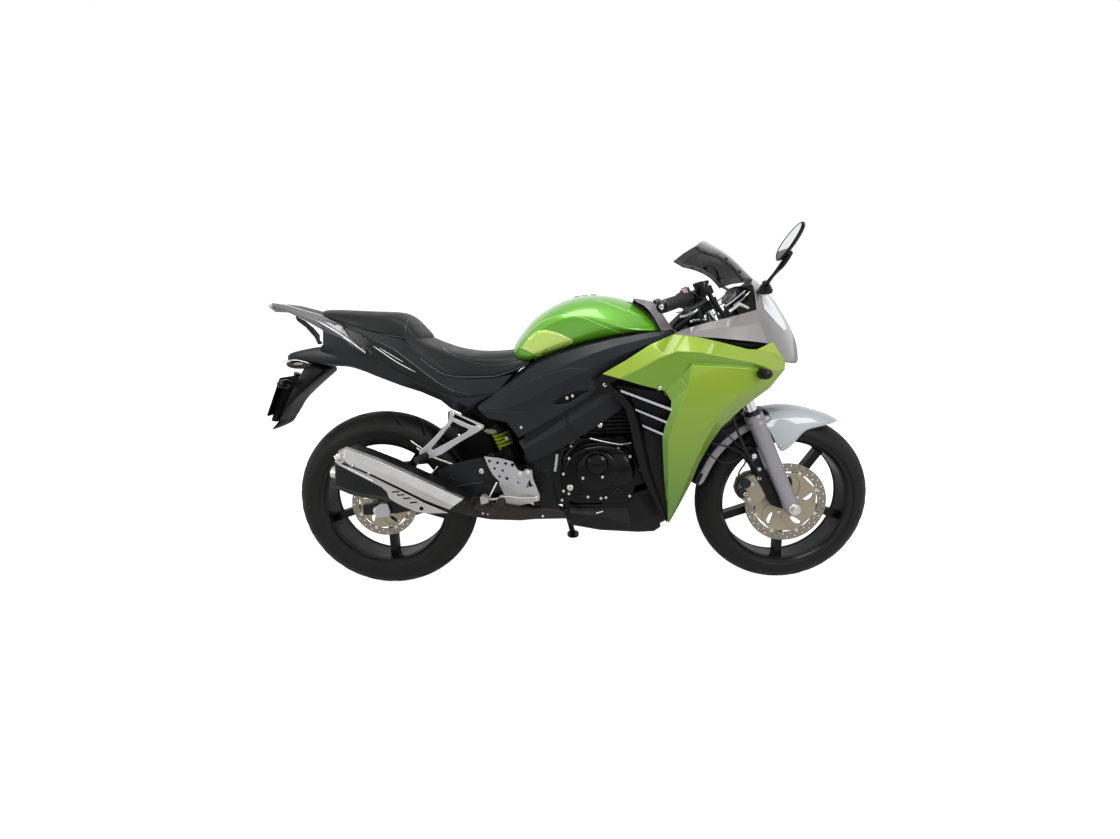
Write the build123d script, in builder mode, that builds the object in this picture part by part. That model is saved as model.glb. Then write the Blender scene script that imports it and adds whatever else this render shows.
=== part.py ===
from build123d import *
from collections import namedtuple
from math import cos, radians, sin
import os

# A 250-class sport motorcycle, parked on its side stand, in millimetres.
# It is drawn upright: X forward, Y to the rider's left, Z up, and the origin on the ground
# under the rear axle. The last lines lean it onto its stand and centre it on the floor.

# Wheels
wheelbase = 1370
rear_tyre_radius = 314
rear_tyre_width = 132
front_tyre_radius = 293
front_tyre_width = 110
rim_seat_radius = 215.9
rim_flange_height = 12
rim_flange_thickness = 5
rim_barrel_thickness = 8
tyre_bead_gap = 0.3
tyre_overhang = 20
spoke_count = 5
spoke_width = 26
spoke_thickness = 30
hub_radius = 34
front_axle_radius = 7.5
rear_axle_radius = 8.5
bearing_clearance = 0.3
front_hub_half = 50
rear_hub_half = 60
disc_thickness = 4.5
disc_bolt_radius = 42
disc_window_count = 8
front_disc_radius = 136
rear_disc_radius = 112
sprocket_radius = 92
sprocket_thickness = 6
sprocket_offset = 80

# Steering
rake = 24
fork_offset = 30
fork_spread = 100
slider_radius = 27
slider_length = 345
slider_foot = 34
stanchion_radius = 18.5
fork_length = 788
stem_radius = 15
head_tube_radius = 31
yoke_wall = 12
yoke_thickness = 30
lower_yoke_height = 442
upper_yoke_height = 705
stem_gap = 1.5
fit_gap = 0.2
seat_gap = 0.3

# Bars
clip_height = 748
clip_thickness = 26
bar_radius = 11
bar_length = 300
bar_sweep = 34
bar_droop = 9
grip_radius = 17
grip_length = 122
grip_setback = 8

# Brakes, with the running gap that each caliper keeps from its disc
running_gap = 5
caliper_width = 58
caliper_length = 84
caliper_wall = 20

# Panels
panel_thickness = 4
screen_thickness = 3
panel_rear_y = -205

# Drive and frame
arm_inner = 95
arm_outer = 117
pivot_x = 560
pivot_z = 425
pivot_shaft_radius = 9
pivot_tube_radius = 18
plate_inner = 118.5
plate_thickness = 15
chain_width = 14
chain_height = 15
chain_gap = 0.6
drive_sprocket_radius = 32
drive_sprocket_x = 622
drive_sprocket_z = 430
rail_radius = 12
rail_spread = 72

# Parking
lean = 10
floor_drop = 1.0
stand_pivot = (600, 148, 300)
stand_foot = (645, 268)
stand_leg_radius = 11
stand_pad_radius = 24
stand_pad_thickness = 8
stand_pin_radius = 6

right_side = Plane.XZ
steering_up = Vector(-sin(radians(rake)), 0, cos(radians(rake)))
steering_ahead = Vector(cos(radians(rake)), 0, sin(radians(rake)))
front_axle_point = Vector(wheelbase, 0, front_tyre_radius)
rear_axle_point = Vector(0, 0, rear_tyre_radius)
steering_foot = front_axle_point - steering_ahead * fork_offset


def across(x):
    """The plane across the bike at x, with Y to its right and Z up."""
    return Plane(origin=(x, 0, 0), x_dir=(0, 1, 0), z_dir=(1, 0, 0))


def steering_plane(height):
    """The plane across the steering axis, its own X to the bike's left and its Y ahead."""
    origin = steering_foot + steering_up * height
    return Plane(origin=origin, x_dir=(0, 1, 0), z_dir=-steering_up)


def fork_point(side, height):
    """A point on one fork leg's centre line, measured up from the axle."""
    return front_axle_point + steering_up * height + Vector(0, side * fork_spread, 0)


def outline(plane, points):
    """A filled outline of straight edges on a plane."""
    with BuildSketch(plane) as shape:
        with BuildLine():
            Polyline(*points, close=True)
        make_face()
    return shape.sketch


def loaf(x, sill_half, sill, shoulder_half, shoulder, crown):
    """A section across the bike: flat sill, straight sides and an arched crown."""
    with BuildSketch(across(x)) as shape:
        with BuildLine():
            Polyline(
                (shoulder_half, shoulder), (sill_half, sill), (-sill_half, sill), (-shoulder_half, shoulder)
            )
            ThreePointArc((-shoulder_half, shoulder), (0, crown), (shoulder_half, shoulder))
        make_face()
    return shape.sketch


def slab(near, far, points):
    """A plate on the right side, between two distances from the middle, from its side view."""
    with BuildPart() as plate:
        with BuildSketch(right_side.offset(near)):
            with BuildLine():
                Polyline(*points, close=True)
            make_face()
        extrude(amount=far - near)
    return plate.part


def rod(start, end, radius):
    """A round bar from one point to another."""
    run = Vector(*end) - Vector(*start)
    with BuildPart() as bar:
        with BuildSketch(Plane(origin=Vector(*start), z_dir=run.normalized())):
            Circle(radius)
        extrude(amount=run.length)
    return bar.part


def ring(centre, outer, inner, near, far):
    """A ring about an axle that runs across the bike, between two places along it."""
    with BuildPart() as part:
        with BuildSketch(Plane(origin=centre, x_dir=(1, 0, 0), z_dir=(0, 1, 0)).offset(near)):
            Circle(outer)
            Circle(inner, mode=Mode.SUBTRACT)
        extrude(amount=far - near)
    return part.part


def skin(z, points):
    """One level of a side panel: its outer points from rear to front, and the same points a wall inside."""
    inside = [(x, y + panel_thickness) for x, y in reversed(points)]
    return outline(Plane.XY.offset(z), points + inside)


# Sections across the bike, from the rear forward. A sill is a section's flat underside.
Section = namedtuple("Section", "x sill_half sill shoulder_half shoulder crown")
tank_sections = [
    Section(470, 92, 800, 104, 812, 836),
    Section(520, 120, 800, 146, 862, 908),
    Section(600, 146, 817, 166, 908, 962),
    Section(700, 150, 844, 172, 920, 994),
    Section(790, 150, 860, 166, 906, 988),
    Section(870, 138, 871, 144, 886, 966),
    Section(958, 104, 874, 108, 882, 896),
]
rider_sections = [
    Section(168, 112, 818, 108, 862, 880),
    Section(247, 126, 757, 122, 826, 847),
    Section(314, 130, 745, 130, 812, 831),
    Section(381, 130, 745, 130, 802, 826),
    Section(440, 126, 747, 120, 800, 828),
    Section(466, 120, 756, 106, 806, 832),
]
pillion_sections = [
    Section(-150, 50, 948, 60, 960, 973),
    Section(-80, 85, 930, 90, 950, 971),
    Section(20, 98, 900, 100, 938, 963),
    Section(108, 100, 880, 100, 932, 960),
    Section(160, 92, 866, 92, 880, 894),
]

# Box beams of the frame, each row a rectangle across the right beam.
Beam = namedtuple("Beam", "x inner outer low high")
beams = [
    Beam(500, plate_inner, 150, 488, 612),
    Beam(800, 112, 148, 642, 742),
    Beam(1088, 16, 50, 768, 862),
]
head_low = lower_yoke_height + yoke_thickness + stem_gap
head_high = upper_yoke_height - stem_gap
plate_outer = plate_inner + plate_thickness

# Each level of a side fairing is a thin strip: rear edge, crease and front edge. The black
# inner panel fills from panel_x to the rear edge.
Level = namedtuple("Level", "z rear_x rear_y crease_x crease_y front_x front_y panel_x")
fairing_levels = [
    Level(286, 938, -204, 943, -207, 948, -200, 930),
    Level(392, 918, -222, 955, -233, 1011, -200, 880),
    Level(470, 906, -230, 960, -245, 1044, -200, 842),
    Level(575, 895, -240, 965, -256, 1095, -200, 817),
    Level(665, 905, -243, 985, -261, 1185, -200, 798),
    Level(704, 888, -242, 1000, -262, 1262, -192, 737),
    Level(752, 748, -233, 1000, -262, 1288, -182, 726),
    Level(779, 778, -232, 990, -258, 1286, -180, 0),
    Level(812, 832, -230, 975, -246, 1190, -188, 0),
    Level(850, 894, -227, 950, -232, 1030, -215, 0),
]

# Places where the frame carries other pieces
cowl_inner = 96
cowl_outer = 118
rail_route = [(512, -130, 590), (392, -78, 646), (300, -rail_spread, 690), (-150, -rail_spread, 850)]
post_radius = 6
seat_post_x = 300
tank_post_x = 780
radiator_top = 650
radiator_tab_x = 972
panel_tab_x = 812
panel_tab_z = 690
shock_x = 450
shock_bar_z = 618
stay_root = (1128, 0, 815)
stay_knee = (1250, 0, 830)
stay_neck = (1190, 0, 938)
stay_half = 120
instrument_floor = 962
plate_foot = 324

# Side stand geometry: the foot lies on the floor that the leaned bike stands on.
floor_up = Vector(0, -sin(radians(lean)), cos(radians(lean)))
foot_x, foot_y = stand_foot
foot_z = (floor_drop * -1 + foot_y * sin(radians(lean))) / cos(radians(lean))
foot_bottom = Vector(foot_x, foot_y, foot_z)
foot_top = foot_bottom + floor_up * stand_pad_thickness
stand_top = Vector(*stand_pivot)
stand_down = foot_top - stand_top
stowed = Vector(-stand_down.length, 30, 0)
stand_axis = stowed.cross(stand_down).normalized()


def between(start, end, share):
    """A value part of the way from start to end."""
    return start + (end - start) * share


def sill_at(sections, x):
    """The height of a body's flat underside at x."""
    for rear, front in zip(sections, sections[1:]):
        if rear.x <= x <= front.x:
            return between(rear.sill, front.sill, (x - rear.x) / (front.x - rear.x))


def rail_at(x):
    """A point on the right seat rail's straight rear run."""
    front, rear = Vector(*rail_route[-2]), Vector(*rail_route[-1])
    return between(front, rear, (front.X - x) / (front.X - rear.X))


def level_at(z):
    """The fairing's level at a height, part of the way between two rows of the table."""
    for low, high in zip(fairing_levels, fairing_levels[1:]):
        if low.z <= z <= high.z:
            share = (z - low.z) / (high.z - low.z)
            return Level(*(between(a, b, share) for a, b in zip(low, high)))


def fairing_face(x, z):
    """The outer face of the right fairing, ahead of its crease."""
    v = level_at(z)
    return between(v.crease_y, v.front_y, (x - v.crease_x) / (v.front_x - v.crease_x))


def panel_face(x, z):
    """The inner face of the right inner panel."""
    v = level_at(z)
    return between(panel_rear_y, v.rear_y, (x - v.panel_x) / (v.rear_x - v.panel_x)) + panel_thickness


# Wheels
# A tyre is a closed ring whose crown is one arc, seated between the flanges of its rim.
def tyre(centre, radius, width):
    bead = rim_seat_radius + tyre_bead_gap
    bead_half = width / 2 - tyre_overhang
    shelf = rim_seat_radius + rim_flange_height + 1
    wall_radius = radius - width * 0.385
    with BuildPart() as part:
        with BuildSketch(across(centre.X)):
            with BuildLine():
                Polyline(
                    (width / 2, wall_radius + centre.Z),
                    (bead_half + rim_flange_thickness, shelf + 2 + centre.Z),
                    (bead_half, shelf + centre.Z),
                    (bead_half, bead + centre.Z),
                    (-bead_half, bead + centre.Z),
                    (-bead_half, shelf + centre.Z),
                    (-bead_half - rim_flange_thickness, shelf + 2 + centre.Z),
                    (-width / 2, wall_radius + centre.Z),
                )
                ThreePointArc(
                    (-width / 2, wall_radius + centre.Z),
                    (0, radius + centre.Z),
                    (width / 2, wall_radius + centre.Z),
                )
            make_face()
        revolve(axis=Axis(centre, (0, 1, 0)))
    return part.part


# A rim is a barrel with two flanges, a hub and cast spokes between them.
def rim(centre, width, hub_half, bore):
    seat_half = width / 2 - tyre_overhang + tyre_bead_gap
    outer_half = seat_half + rim_flange_thickness
    seat = rim_seat_radius
    flange = seat + rim_flange_height
    inner = seat - rim_barrel_thickness
    wheel_plane = Plane(origin=centre, x_dir=(1, 0, 0), z_dir=(0, 1, 0))
    with BuildPart() as part:
        with BuildSketch(across(centre.X)):
            with BuildLine():
                Polyline(
                    (-outer_half, flange + centre.Z),
                    (-seat_half, flange + centre.Z),
                    (-seat_half, seat + centre.Z),
                    (seat_half, seat + centre.Z),
                    (seat_half, flange + centre.Z),
                    (outer_half, flange + centre.Z),
                    (outer_half, inner + centre.Z),
                    (-outer_half, inner + centre.Z),
                    close=True,
                )
            make_face()
        revolve(axis=Axis(centre, (0, 1, 0)))
        with BuildSketch(wheel_plane.offset(-spoke_thickness / 2)):
            with PolarLocations(inner / 2 + 2, spoke_count, start_angle=18):
                Rectangle(inner + 4, spoke_width)
            Circle(hub_radius + 6)
        extrude(amount=spoke_thickness)
        add(ring(centre, hub_radius, bore / 2, -hub_half, hub_half))
        with BuildSketch(wheel_plane.offset(-hub_half)):
            Circle(bore)
        extrude(amount=2 * hub_half, mode=Mode.SUBTRACT)
    return part.part


# A brake disc lies on the hub's right face, with windows between its band and its carrier.
def brake_disc(centre, radius, hub_half, bore):
    window_inner = disc_bolt_radius + 8
    window_outer = radius - 36
    with BuildPart() as part:
        with BuildSketch(right_side.offset(hub_half)):
            with Locations((centre.X, centre.Z)):
                Circle(radius)
                Circle(bore, mode=Mode.SUBTRACT)
                with PolarLocations((window_inner + window_outer) / 2, disc_window_count):
                    SlotOverall(window_outer - window_inner, 14, mode=Mode.SUBTRACT)
        extrude(amount=disc_thickness)
    return part.part


front_bore = front_axle_radius + bearing_clearance
rear_bore = rear_axle_radius + bearing_clearance

with BuildPart() as front_tyre:
    add(tyre(front_axle_point, front_tyre_radius, front_tyre_width))

with BuildPart() as rear_tyre:
    add(tyre(rear_axle_point, rear_tyre_radius, rear_tyre_width))

with BuildPart() as front_rim:
    add(rim(front_axle_point, front_tyre_width, front_hub_half, front_bore))

with BuildPart() as rear_rim:
    add(rim(rear_axle_point, rear_tyre_width, rear_hub_half, rear_bore))

with BuildPart() as front_disc:
    add(brake_disc(front_axle_point, front_disc_radius, front_hub_half, front_bore))

with BuildPart() as rear_disc:
    add(brake_disc(rear_axle_point, rear_disc_radius, rear_hub_half, rear_bore))

sprocket_inner_face = sprocket_offset - sprocket_thickness / 2
with BuildPart() as rear_sprocket:
    sprocket_outer_face = sprocket_inner_face + sprocket_thickness
    add(ring(rear_axle_point, sprocket_radius, rear_bore, sprocket_inner_face, sprocket_outer_face))
    add(ring(rear_axle_point, disc_bolt_radius, rear_bore, rear_hub_half, sprocket_inner_face))

# The chain is one fixed loop about the two sprockets, a small gap outside them.
chain_start = Vector(0, 0, rear_tyre_radius)
chain_end = Vector(drive_sprocket_x, 0, drive_sprocket_z)
chain_sides = Plane(origin=(0, sprocket_offset - chain_width / 2, 0), x_dir=(1, 0, 0), z_dir=(0, 1, 0))


def chain_loop(extra):
    """The belt-shaped outline about both sprockets, grown by extra."""
    with BuildSketch(chain_sides) as loop:
        with Locations((chain_start.X, -chain_start.Z)):
            Circle(sprocket_radius + extra)
        with Locations((chain_end.X, -chain_end.Z)):
            Circle(drive_sprocket_radius + extra)
        make_hull()
    return loop.sketch


with BuildPart() as chain:
    with BuildSketch(chain_sides):
        add(chain_loop(chain_gap + chain_height))
        add(chain_loop(chain_gap), mode=Mode.SUBTRACT)
    extrude(amount=chain_width)

# Front fork
fender_clearance = 20
fender_wall = 4
fender_half = 66
fender_inner_radius = front_tyre_radius + fender_clearance

with BuildPart() as fork_legs:
    for side in (-1, 1):
        add(rod(fork_point(side, -slider_foot), fork_point(side, slider_length), slider_radius))
        add(rod(fork_point(side, slider_length), fork_point(side, fork_length), stanchion_radius))
    axle_hole_half = fork_spread + slider_radius + 1
    with BuildSketch(right_side.offset(-axle_hole_half)):
        with Locations((wheelbase, front_tyre_radius)):
            Circle(front_axle_radius + fit_gap)
    extrude(amount=2 * axle_hole_half, mode=Mode.SUBTRACT)
    # The caliper's carrier, on the right leg's rear side.
    with BuildSketch(right_side.offset(fork_spread - 12)):
        with Locations((wheelbase - 55, front_tyre_radius + 54)):
            Rectangle(44, 60)
    extrude(amount=14)

with BuildPart() as front_axle:
    axle_half = fork_spread + slider_radius + 4
    add(ring(front_axle_point, front_axle_radius, front_axle_radius / 3, -axle_half, axle_half))
    spacer_end = fork_spread - slider_radius - seat_gap
    for side in (-1, 1):
        ends = sorted((side * (front_hub_half + disc_thickness + 1), side * spacer_end))
        add(ring(front_axle_point, front_axle_radius + 5, front_axle_radius / 2, *ends))
        caps = sorted((side * (fork_spread + slider_radius + seat_gap), side * (axle_half + 8)))
        add(ring(front_axle_point, front_axle_radius + 5, front_axle_radius / 3, *caps))


def yoke(height):
    """A fork yoke: a web between two split clamps, about the steering stem."""
    clamp_radius = stanchion_radius + yoke_wall
    with BuildPart() as part:
        with BuildSketch(steering_plane(height)):
            Circle(stem_radius + yoke_wall)
            with Locations((-fork_spread, fork_offset), (fork_spread, fork_offset)):
                Circle(clamp_radius)
            with BuildLine():
                Polyline(
                    (-fork_spread, fork_offset + 18),
                    (fork_spread, fork_offset + 18),
                    (fork_spread, fork_offset - 18),
                    (0, -stem_radius),
                    (-fork_spread, fork_offset - 18),
                    close=True,
                )
            make_face()
            with Locations((-fork_spread, fork_offset), (fork_spread, fork_offset)):
                Circle(stanchion_radius + fit_gap, mode=Mode.SUBTRACT)
        extrude(amount=-yoke_thickness)
    return part.part


with BuildPart() as fork_yokes:
    add(yoke(lower_yoke_height))
    add(yoke(upper_yoke_height))
    stem_start = steering_foot + steering_up * lower_yoke_height
    stem_end = steering_foot + steering_up * (upper_yoke_height + yoke_thickness)
    add(rod(stem_start, stem_end, stem_radius))

# Bars: a clamp on each leg, a tube that sweeps back and droops, and a lever ahead of the grip.
bar_direction = Vector(
    -sin(radians(bar_sweep)) * cos(radians(bar_droop)),
    cos(radians(bar_sweep)) * cos(radians(bar_droop)),
    -sin(radians(bar_droop)),
)


def mirrored(vector, side):
    """The same vector on the left side, 1, or on the right, -1."""
    return Vector(vector.X, side * vector.Y, vector.Z)


bar_root = fork_point(1, clip_height + clip_thickness / 2)


def along_bar(side, distance, ahead=0, drop=0):
    """A point along one bar, moved ahead of it and down from it."""
    return mirrored(bar_root + bar_direction * distance + Vector(ahead, 0, -drop), side)


lever_reach = 50
with BuildPart() as handlebars:
    for side in (-1, 1):
        clamp_low = fork_point(side, clip_height)
        clamp_high = fork_point(side, clip_height + clip_thickness)
        add(rod(clamp_low, clamp_high, stanchion_radius + yoke_wall - 3))
        add(rod(along_bar(side, stanchion_radius + 4), along_bar(side, bar_length), bar_radius))
        grip_start = bar_length - grip_length
        add(rod(along_bar(side, grip_start - 48), along_bar(side, grip_start - 14), 19))
        add(rod(along_bar(side, grip_start - 52), along_bar(side, grip_start - 40, lever_reach, 6), 8))
        lever_end = along_bar(side, bar_length - 14, lever_reach, 14)
        add(rod(along_bar(side, grip_start - 44, lever_reach, 6), lever_end, 6))
        leg_hole = rod(clamp_low - steering_up, clamp_high + steering_up, stanchion_radius + fit_gap)
        add(leg_hole, mode=Mode.SUBTRACT)
    add(rod(along_bar(-1, 58, 18), along_bar(-1, 118, 18), 12))

with BuildPart() as grips:
    for side in (-1, 1):
        start = along_bar(side, bar_length - grip_length - grip_setback)
        end = along_bar(side, bar_length - grip_setback)
        add(rod(start, end, grip_radius))
        add(rod(along_bar(side, bar_length + seat_gap), along_bar(side, bar_length + 12), grip_radius - 3))
    for side in (-1, 1):
        start = along_bar(side, bar_length - grip_length - 2 * grip_setback)
        add(rod(start, along_bar(side, bar_length), bar_radius + fit_gap), mode=Mode.SUBTRACT)

# The fender is an arch about the front axle, open below, with a lug down to each leg.
fender_front_angle = 58
fender_rear_angle = 168
fender_skirt = 26
fender_crown = 12
fender_shoulder = 22
fender_top = front_tyre_radius + fender_inner_radius
outer_edge = [
    (-fender_half, fender_top - fender_skirt), (-fender_half, fender_top),
    (fender_shoulder - fender_half, fender_top + fender_crown + fender_wall),
]
inner_edge = [
    (1 + fender_shoulder - fender_half, fender_top + fender_crown),
    (fender_wall - fender_half, fender_top - 2), (fender_wall - fender_half, fender_top - fender_skirt),
]
fender_profile = outer_edge + [(-y, z) for y, z in reversed(outer_edge)]
fender_profile += [(-y, z) for y, z in reversed(inner_edge)] + inner_edge
with BuildPart() as front_fender:
    for turn, arc in ((-1, fender_rear_angle - 90), (1, 90 - fender_front_angle)):
        with BuildSketch(across(wheelbase)):
            with BuildLine():
                Polyline(*fender_profile, close=True)
            make_face()
        revolve(axis=Axis(front_axle_point, (0, turn, 0)), revolution_arc=arc)
    lug_outer = fork_spread - slider_radius - seat_gap
    lug = slab(fender_half - fender_wall, lug_outer, [(1238, 588), (1272, 596), (1302, 520), (1268, 505)])
    add(lug)
    mirror(lug, about=Plane.XZ)

# The caliper straddles the disc behind the right leg and keeps a running gap from it.
caliper_angle = 157
disc_middle = front_hub_half + disc_thickness / 2
slot_half = disc_thickness / 2 + running_gap


def caliper(centre, angle, middle, disc_radius, outer_limit):
    """A brake caliper: a block over the disc's edge with a slot that the disc runs in."""
    radius = disc_radius - caliper_width / 2 + 12
    at_x = centre.X + radius * cos(radians(angle))
    at_z = centre.Z + radius * sin(radians(angle))
    with BuildPart() as part:
        with BuildSketch(right_side.offset(middle - slot_half - caliper_wall)):
            with Locations(Location((at_x, at_z), angle)):
                RectangleRounded(caliper_width, caliper_length, 12)
        extrude(amount=outer_limit - middle + slot_half + caliper_wall)
        with BuildSketch(right_side.offset(middle - slot_half)):
            with Locations((centre.X, centre.Z)):
                Circle(disc_radius + running_gap)
        extrude(amount=2 * slot_half, mode=Mode.SUBTRACT)
    return part.part


with BuildPart() as front_caliper:
    add(caliper(front_axle_point, caliper_angle, disc_middle, front_disc_radius, fork_spread - 12 - seat_gap))

# The brake hose runs from the right bar down behind the leg to the caliper.
hose_radius = 4
hose_route = [
    (1030, -165, 962), (1044, -160, 895), (1070, -156, 822), (1100, -152, 740), (1132, -149, 655),
    (1166, -147, 565), (1204, -138, 484), (1246, -110, 430), (1274, -80, 384.5),
]
hose_radii = [120, 200, 200, 200, 200, 120, 90]
with BuildPart() as brake_hose:
    with BuildLine() as hose_line:
        FilletPolyline(*hose_route, radius=hose_radii)
    with BuildSketch(Plane(origin=hose_line.line @ 0, z_dir=hose_line.line % 0)):
        Circle(hose_radius)
    sweep()

# Frame: two box beams from the pivot plates to the steering head, rails under the seat.
with BuildPart() as frame:
    loft(
        sections=[
            outline(
                across(b.x),
                [(-b.outer, b.low), (-b.inner, b.low), (-b.inner, b.high), (-b.outer, b.high)],
            )
            for b in beams
        ],
        ruled=True,
    )
    pivot_plate = [(500, 560), (640, 560), (614, 470), (640, plate_foot + 6), (520, plate_foot), (505, 420)]
    add(slab(plate_inner, plate_outer, pivot_plate))
    for start, end in zip(rail_route, rail_route[1:]):
        add(rod(start, end, rail_radius))
    with Locations(*rail_route[1:-1]):
        Sphere(rail_radius)
    for lug_x in (0, 200):
        lug = rail_at(lug_x)
        add(rod(lug, (lug_x, seat_gap - cowl_inner, lug.Z), 8))
    seat_post = rail_at(seat_post_x)
    post_top = sill_at(rider_sections, seat_post_x + post_radius) - seat_gap
    add(rod(seat_post, (seat_post.X, seat_post.Y, post_top), post_radius))
    tank_post_top = sill_at(tank_sections, tank_post_x - post_radius) - seat_gap
    add(rod((tank_post_x, -128, 720), (tank_post_x, -128, tank_post_top), post_radius))
    add(rod((radiator_tab_x, -74, 720), (radiator_tab_x, -74, radiator_top + 1 + seat_gap), post_radius))
    panel_tab_end = panel_face(panel_tab_x, panel_tab_z) + 3 + seat_gap
    add(rod((panel_tab_x, -140, panel_tab_z), (panel_tab_x, panel_tab_end, panel_tab_z), post_radius))
    mirror(about=Plane.XZ)
    add(rod((512, -140, 590), (512, 140, 590), 16))
    add(rod((shock_x, -104, shock_bar_z), (shock_x, 104, shock_bar_z), rail_radius))
    for brace_x in (-100, 250):
        brace = rail_at(brace_x)
        add(rod(brace, (brace.X, -brace.Y, brace.Z), rail_radius - 2))
    head_foot = steering_foot + steering_up * head_low
    head_top = steering_foot + steering_up * head_high
    add(rod(head_foot, head_top, head_tube_radius))
    stem_hole = rod(head_foot - steering_up, head_top + steering_up, stem_radius + bearing_clearance)
    add(stem_hole, mode=Mode.SUBTRACT)
    # The stay that carries the nose and the instruments, ahead of the steering head.
    add(rod(stay_root, stay_knee, 9))
    add(rod((stay_knee[0], -stay_half, stay_knee[2]), (stay_knee[0], stay_half, stay_knee[2]), 7))
    add(rod(stay_knee, stay_neck, 7))
    add(rod(stay_neck, (stay_neck[0], 0, instrument_floor - seat_gap), 7))
    # The side stand's lug and pin on the left pivot plate.
    add(rod(stand_top + stand_axis * 14.5, stand_top + stand_axis * 30, 16))
    add(rod(stand_top + stand_axis * 34, Vector(stand_top.X, plate_inner + 1.5, plate_foot + 12), 6))
    add(rod(stand_top - stand_axis * 19, stand_top + stand_axis * 30, stand_pin_radius))
    add(rod(stand_top - stand_axis * 19, stand_top - stand_axis * 14.5, 11))
    hole_end = plate_outer + 1
    hole_radius = pivot_shaft_radius + fit_gap
    add(rod((pivot_x, -hole_end, pivot_z), (pivot_x, hole_end, pivot_z), hole_radius), mode=Mode.SUBTRACT)

# Swingarm, with its pivot shaft and the plates that hold the rear axle.
with BuildPart() as swingarm:
    arm = [
        (-52, 330), (-52, 296), (60, 300), (330, 352), (540, 398), (576, 408), (576, 442), (540, 452),
        (300, 452), (60, 345),
    ]
    add(slab(arm_inner, arm_outer, arm))
    mirror(about=Plane.XZ)
    add(rod((pivot_x, -arm_inner - 2, pivot_z), (pivot_x, arm_inner + 2, pivot_z), pivot_tube_radius))
    add(rod((pivot_x, -plate_outer, pivot_z), (pivot_x, plate_outer, pivot_z), pivot_shaft_radius))
    with BuildSketch(right_side.offset(-arm_inner - 2)):
        with Locations((450, 403)):
            Rectangle(56, 52)
    extrude(amount=2 * arm_inner + 4)
    with BuildSketch(right_side.offset(-arm_outer - 1)):
        with Locations((0, rear_tyre_radius)):
            Circle(rear_axle_radius + fit_gap)
    extrude(amount=2 * arm_outer + 2, mode=Mode.SUBTRACT)

with BuildPart() as rear_axle:
    rear_axle_half = arm_outer + 4
    add(ring(rear_axle_point, rear_axle_radius, rear_axle_radius / 3, -rear_axle_half, rear_axle_half))
    hub_ends = {-1: rear_hub_half + disc_thickness, 1: sprocket_offset + sprocket_thickness / 2}
    for side, hub_end in hub_ends.items():
        ends = sorted((side * (hub_end + 1), side * (arm_inner - seat_gap)))
        add(ring(rear_axle_point, rear_axle_radius + 5, rear_axle_radius / 2, *ends))
        caps = sorted((side * (arm_outer + seat_gap), side * (rear_axle_half + 6)))
        add(ring(rear_axle_point, rear_axle_radius + 6, rear_axle_radius / 3, *caps))

shock_foot = Vector(shock_x, 0, 429 + seat_gap)
shock_head = Vector(shock_x, 0, shock_bar_z - rail_radius - seat_gap)
shock_run = shock_head - shock_foot
with BuildPart() as rear_shock:
    add(rod(shock_foot, shock_head, 14))
    for share in (0.18, 0.32, 0.46, 0.60, 0.74):
        coil = shock_foot + shock_run * share
        add(rod(coil, coil + shock_run.normalized() * 9, 31))
    add(rod(shock_foot + shock_run * 0.1, shock_foot + shock_run * 0.84, 22))

arm_top = 452 + seat_gap
with BuildPart() as chain_guard:
    guard_side = [(302, arm_top), (538, arm_top), (500, 476), (330, 484), (302, 474)]
    add(slab(2 - arm_outer, -2 - arm_inner, guard_side))

# Engine: one heavy block, a finned cylinder and the side covers.
block_right = plate_inner - seat_gap
block_left = sprocket_offset - chain_width / 2 - 1
crankcase = [
    (625, 345), (650, 315), (848, 315), (884, 352), (905, 400), (872, 480), (812, 545), (668, 545),
    (625, 470),
]
with BuildPart() as engine_block:
    add(slab(-block_left, block_right, crankcase))
    sprocket_start = (drive_sprocket_x, block_left - 1, drive_sprocket_z)
    sprocket_end = (drive_sprocket_x, block_left + chain_width, drive_sprocket_z)
    add(rod(sprocket_start, sprocket_end, drive_sprocket_radius))

block_top = 545 + seat_gap
fin_pitch = 13
fin_count = 6
fin_start = 552
cylinder_half = 58
fin_half = 78
with BuildPart() as cylinder:
    barrel = [(712, block_top), (820, block_top), (884, 700), (880, 742), (782, 742), (760, 706)]
    add(slab(-cylinder_half, cylinder_half, barrel))
    for level in range(fin_count):
        low = fin_start + level * fin_pitch
        rear = 700 + (low - fin_start) * 0.3
        fin = [(rear, low), (rear + 150, low), (rear + 151, low + 4), (rear + 1, low + 4)]
        add(slab(-fin_half, fin_half, fin))

cover_depth = 56
clutch_depth = 72
with BuildPart() as engine_covers:
    right_face = block_right + seat_gap
    with BuildSketch(right_side.offset(right_face)):
        with Locations((752, 442)):
            Circle(92)
    extrude(amount=cover_depth, taper=9)
    with BuildSketch(right_side.offset(right_face)):
        with Locations((724, 474)):
            Circle(66)
    extrude(amount=clutch_depth, taper=7)
    left_face = block_left + seat_gap
    with BuildSketch(right_side.offset(-left_face)):
        with Locations((768, 440)):
            Circle(82)
    extrude(amount=-cover_depth, taper=9)
    sprocket_cover = [(590, 384), (700, 368), (760, 400), (760, 490), (700, 492), (604, 486)]
    add(slab(-(left_face + 34), -(left_face + 24), sprocket_cover))

with BuildPart() as radiator:
    add(slab(-112, 112, [(990, 432), (1014, 436), (984, radiator_top + 2), (960, radiator_top - 2)]))

head_low_corner = Vector(820, 0, block_top)
head_high_corner = Vector(884, 0, 700)
head_face = (head_high_corner - head_low_corner).normalized()
port_out = Vector(head_face.Z, 0, -head_face.X)
port = head_low_corner + head_face * 124 + port_out * seat_gap + Vector(0, -40, 0)

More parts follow.
